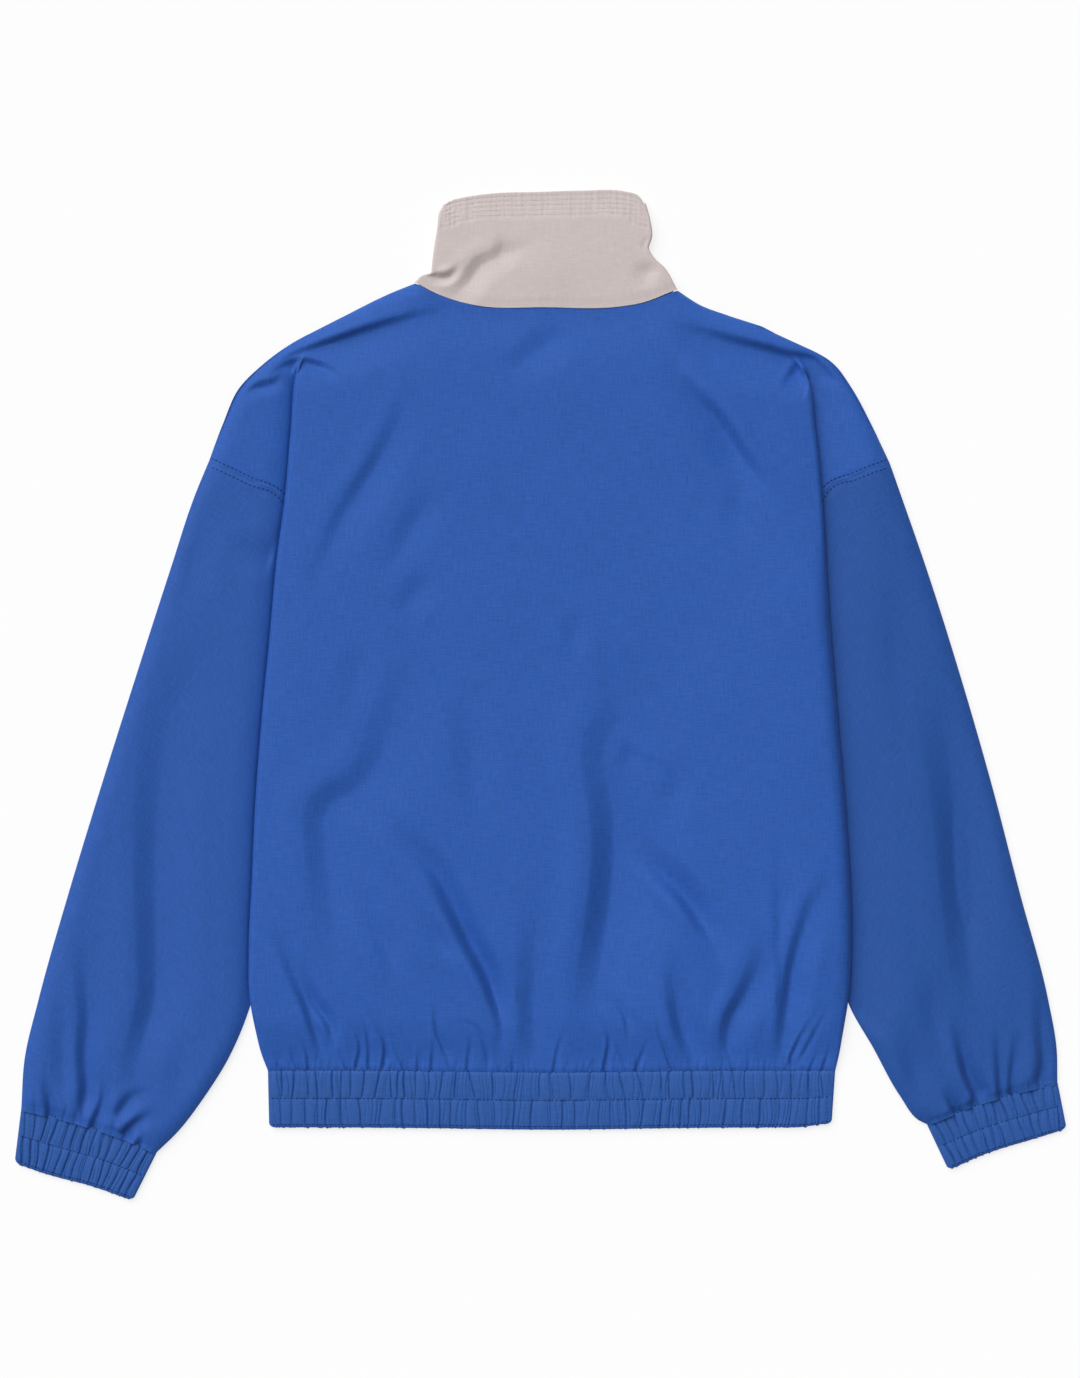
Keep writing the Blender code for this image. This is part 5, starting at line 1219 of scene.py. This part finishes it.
# each sheet's cut: width and length before it was sewn and shirred, and its flat area where
# that isn't a rectangle, in metres; a tube's width is taken all round
cuts = {
    "back": {"flat": (0.61, 0.67), "area": 0.37, "on": ["front_", "sleeve_"]},
    "front_": {"flat": (0.30, 0.66), "area": 0.17, "on": ["floor"]},
    "sleeve_": {"flat": (0.50, 0.56), "area": 0.21, "on": ["floor"]},
    "cuff_": {"flat": (0.29, 0.05), "area": None, "on": ["floor"]},
    "hem_band": {"flat": (1.12, 0.05), "area": None, "on": ["floor"]},
    "collar": {"flat": (0.42, 0.10), "area": 0.034, "on": ["zip_slider"]},
    "zip_tape_": {"flat": (0.014, 0.70), "area": None, "on": ["zip_box", "zip_slider"]},
}


def declareSheets(sheets):
    for node, (piece, _) in sheets.items():
        cutOut = cuts[node.removesuffix("left").removesuffix("right")]
        below = [name + side for name in cutOut["on"]
                 for side in (("left", "right") if name[-1] == "_" else ("",))]
        below = [sheets[name][0].name if name in sheets else name for name in below]


stitching = {
    "band": {"pitch": 3.4, "length": 2.5, "thread": 0.7, "rows": (0.012, 0.5, 0.955)},
    "collar": {"pitch": 2.6, "length": 2.1, "thread": 0.26},
    "armhole": {"pitch": 3.7, "length": 2.3, "thread": 0.9},
}


def stitchRows(grid, rows, columns, lift=0.0):
    # paths of stitches straight across a grid: places, raised along their normals
    normals = upward(grid)
    paths = []
    for row in rows:
        at = np.full(len(columns), row)
        up = readGrid(normals, at, columns)
        paths.append((readGrid(grid, at, columns) + lift * up, up))
    return paths


def dress():
    # every cloth piece takes the place of its node; the sewing rides along
    grids = {}
    back, backGrid = makeBack()
    print("back made")
    collar, collarGrid = makeCollar()
    band, grids["hem"] = makeHemBand()
    sheets = {"back": (back, "body_cloth"), "collar": (collar, "collar_cloth"),
              "hem_band": (band, "band_cloth")}
    for side in ("left", "right"):
        front = makeFront(side)
        sleeve, grids["sleeve_" + side] = makeSleeve(side)
        cuff, grids["cuff_" + side] = makeCuff(side)
        for name, piece, slotName in (("front_", front, "body_cloth"), ("sleeve_", sleeve, "sleeve_cloth"),
                                      ("cuff_", cuff, "band_cloth"),
                                      ("zip_tape_", makeZipTape(side), "zip_cloth")):
            sheets[name + side] = (piece, slotName)
    print("cloth made")
    for node, (piece, slotName) in sheets.items():
        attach(piece, "jacket")
        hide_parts(node)
    coil = mouldedNylon("mouldedPolyamideCoil", dyes["tape"])
    for side in ("left", "right"):
        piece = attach(makeZipCoil(side, coil), "jacket")
    paths = []
    for name in ("hem", "cuff_left", "cuff_right"):
        rows = [share * (len(grids[name]) - 1) for share in stitching["band"]["rows"]]
        paths += stitchRows(grids[name], rows, np.arange(0, grids[name].shape[1] - 1, 2.0), 0.1)
    addStitches("bandStitching", paths, stitching["band"], blueThread)
    spacing = np.linalg.norm(np.diff(collarGrid[-25:, 75], axis=0), axis=1).mean()
    rows = [(len(collarGrid) - 1) - place / spacing for place in collarLook["stitchRows"]]
    paths = stitchRows(collarGrid, rows, np.arange(1, collarGrid.shape[1] - 2, 1.5))
    addStitches("collarStitching", paths, stitching["collar"], greyThread)
    addArmholeStitches(backGrid, grids)
    declareSheets(sheets)
    zinc = platedZinc()
    for name, material in (("zip_slider", zinc), ("zip_pull", zinc),
                           ("zip_box", mouldedNylon("mouldedPolyamideBox", dyes["box"]))):
        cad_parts[name].data.materials.clear()
        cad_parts[name].data.materials.append(material)
    print("stitching and zip made")


def addArmholeStitches(backGrid, grids):
    # Two rows that run beside the seam, one on the back and one on the sleeve, wherever
    # the body doesn't cover them.
    paths = []
    low = int(np.searchsorted(backRows, backLook["stitchesFrom"]))
    for side, order in (("left", 1), ("right", -1)):
        yoke = backGrid[:, ::order][:, :backLook["yokeColumns"]].swapaxes(0, 1)
        for grid, first, last in ((yoke, low, len(backRows) - 1), (grids["sleeve_" + side], 1, 80)):
            at = np.arange(first, last)
            steps = armShape["stitchOffset"] / np.linalg.norm(grid[1, at] - grid[0, at], axis=-1)
            paths.append(tuple(readGrid(values, steps, at.astype(float)) for values in (grid, upward(grid))))
    return addStitches("armholeStitching", paths, stitching["armhole"], blueThread)


dress()

# ---- stage ----

studio = {"floorGlow": 0.713, "floor": "#8f8f8f", "world": 0.27, "sun": 3.05, "sunAngle": 66,
          "sunElevation": 48, "sunTurn": 36, "size": 12000}


def makeStudio():
    # A pale table that is lit from below, an even sky and one broad light from the top left.
    white = (1, 1, 1, 1)
    paper = newMaterial("opalAcrylicTable", {
        "Base Color": studio["floor"], "Roughness": 0.9, "Specular IOR Level": 0, "Emission Color": white,
        "Emission Strength": studio["floorGlow"]})[0]
    corners = studio["size"] * np.array([(-1, -1, 0), (1, -1, 0), (1, 1, 0), (-1, 1, 0)])
    addPiece("floor", corners, [(0, 1, 2, 3)], paper)
    world = bpy.data.worlds.new("studio")
    world.use_nodes = True
    world.node_tree.nodes["Background"].inputs["Color"].default_value = white
    world.node_tree.nodes["Background"].inputs["Strength"].default_value = studio["world"]
    bpy.context.scene.world = world
    lamp = bpy.data.lights.new("softKey", "SUN")
    lamp.energy = studio["sun"]
    lamp.angle = math.radians(studio["sunAngle"])
    key = bpy.data.objects.new("softKey", lamp)
    key.rotation_euler = (math.radians(90 - studio["sunElevation"]), 0, math.radians(180 + studio["sunTurn"]))
    bpy.context.scene.collection.objects.link(key)
    bpy.context.scene.view_settings.view_transform = "Standard"


view = {"lens": 100, "sensor": 36, "distance": 3139, "y": 5.7}


def makeCamera():
    # straight down, at the height where a pixel of the photograph is 0.82 mm of floor
    camera = bpy.data.cameras.new("camera")
    camera.lens = view["lens"]
    camera.sensor_width = view["sensor"]
    camera.clip_start, camera.clip_end = 0.1, 50
    eye = bpy.data.objects.new("camera", camera)
    eye.location = (0, view["y"] * mm, view["distance"] * mm)
    bpy.context.scene.collection.objects.link(eye)
    bpy.context.scene.camera = eye


makeStudio()
makeCamera()
print("studio made")
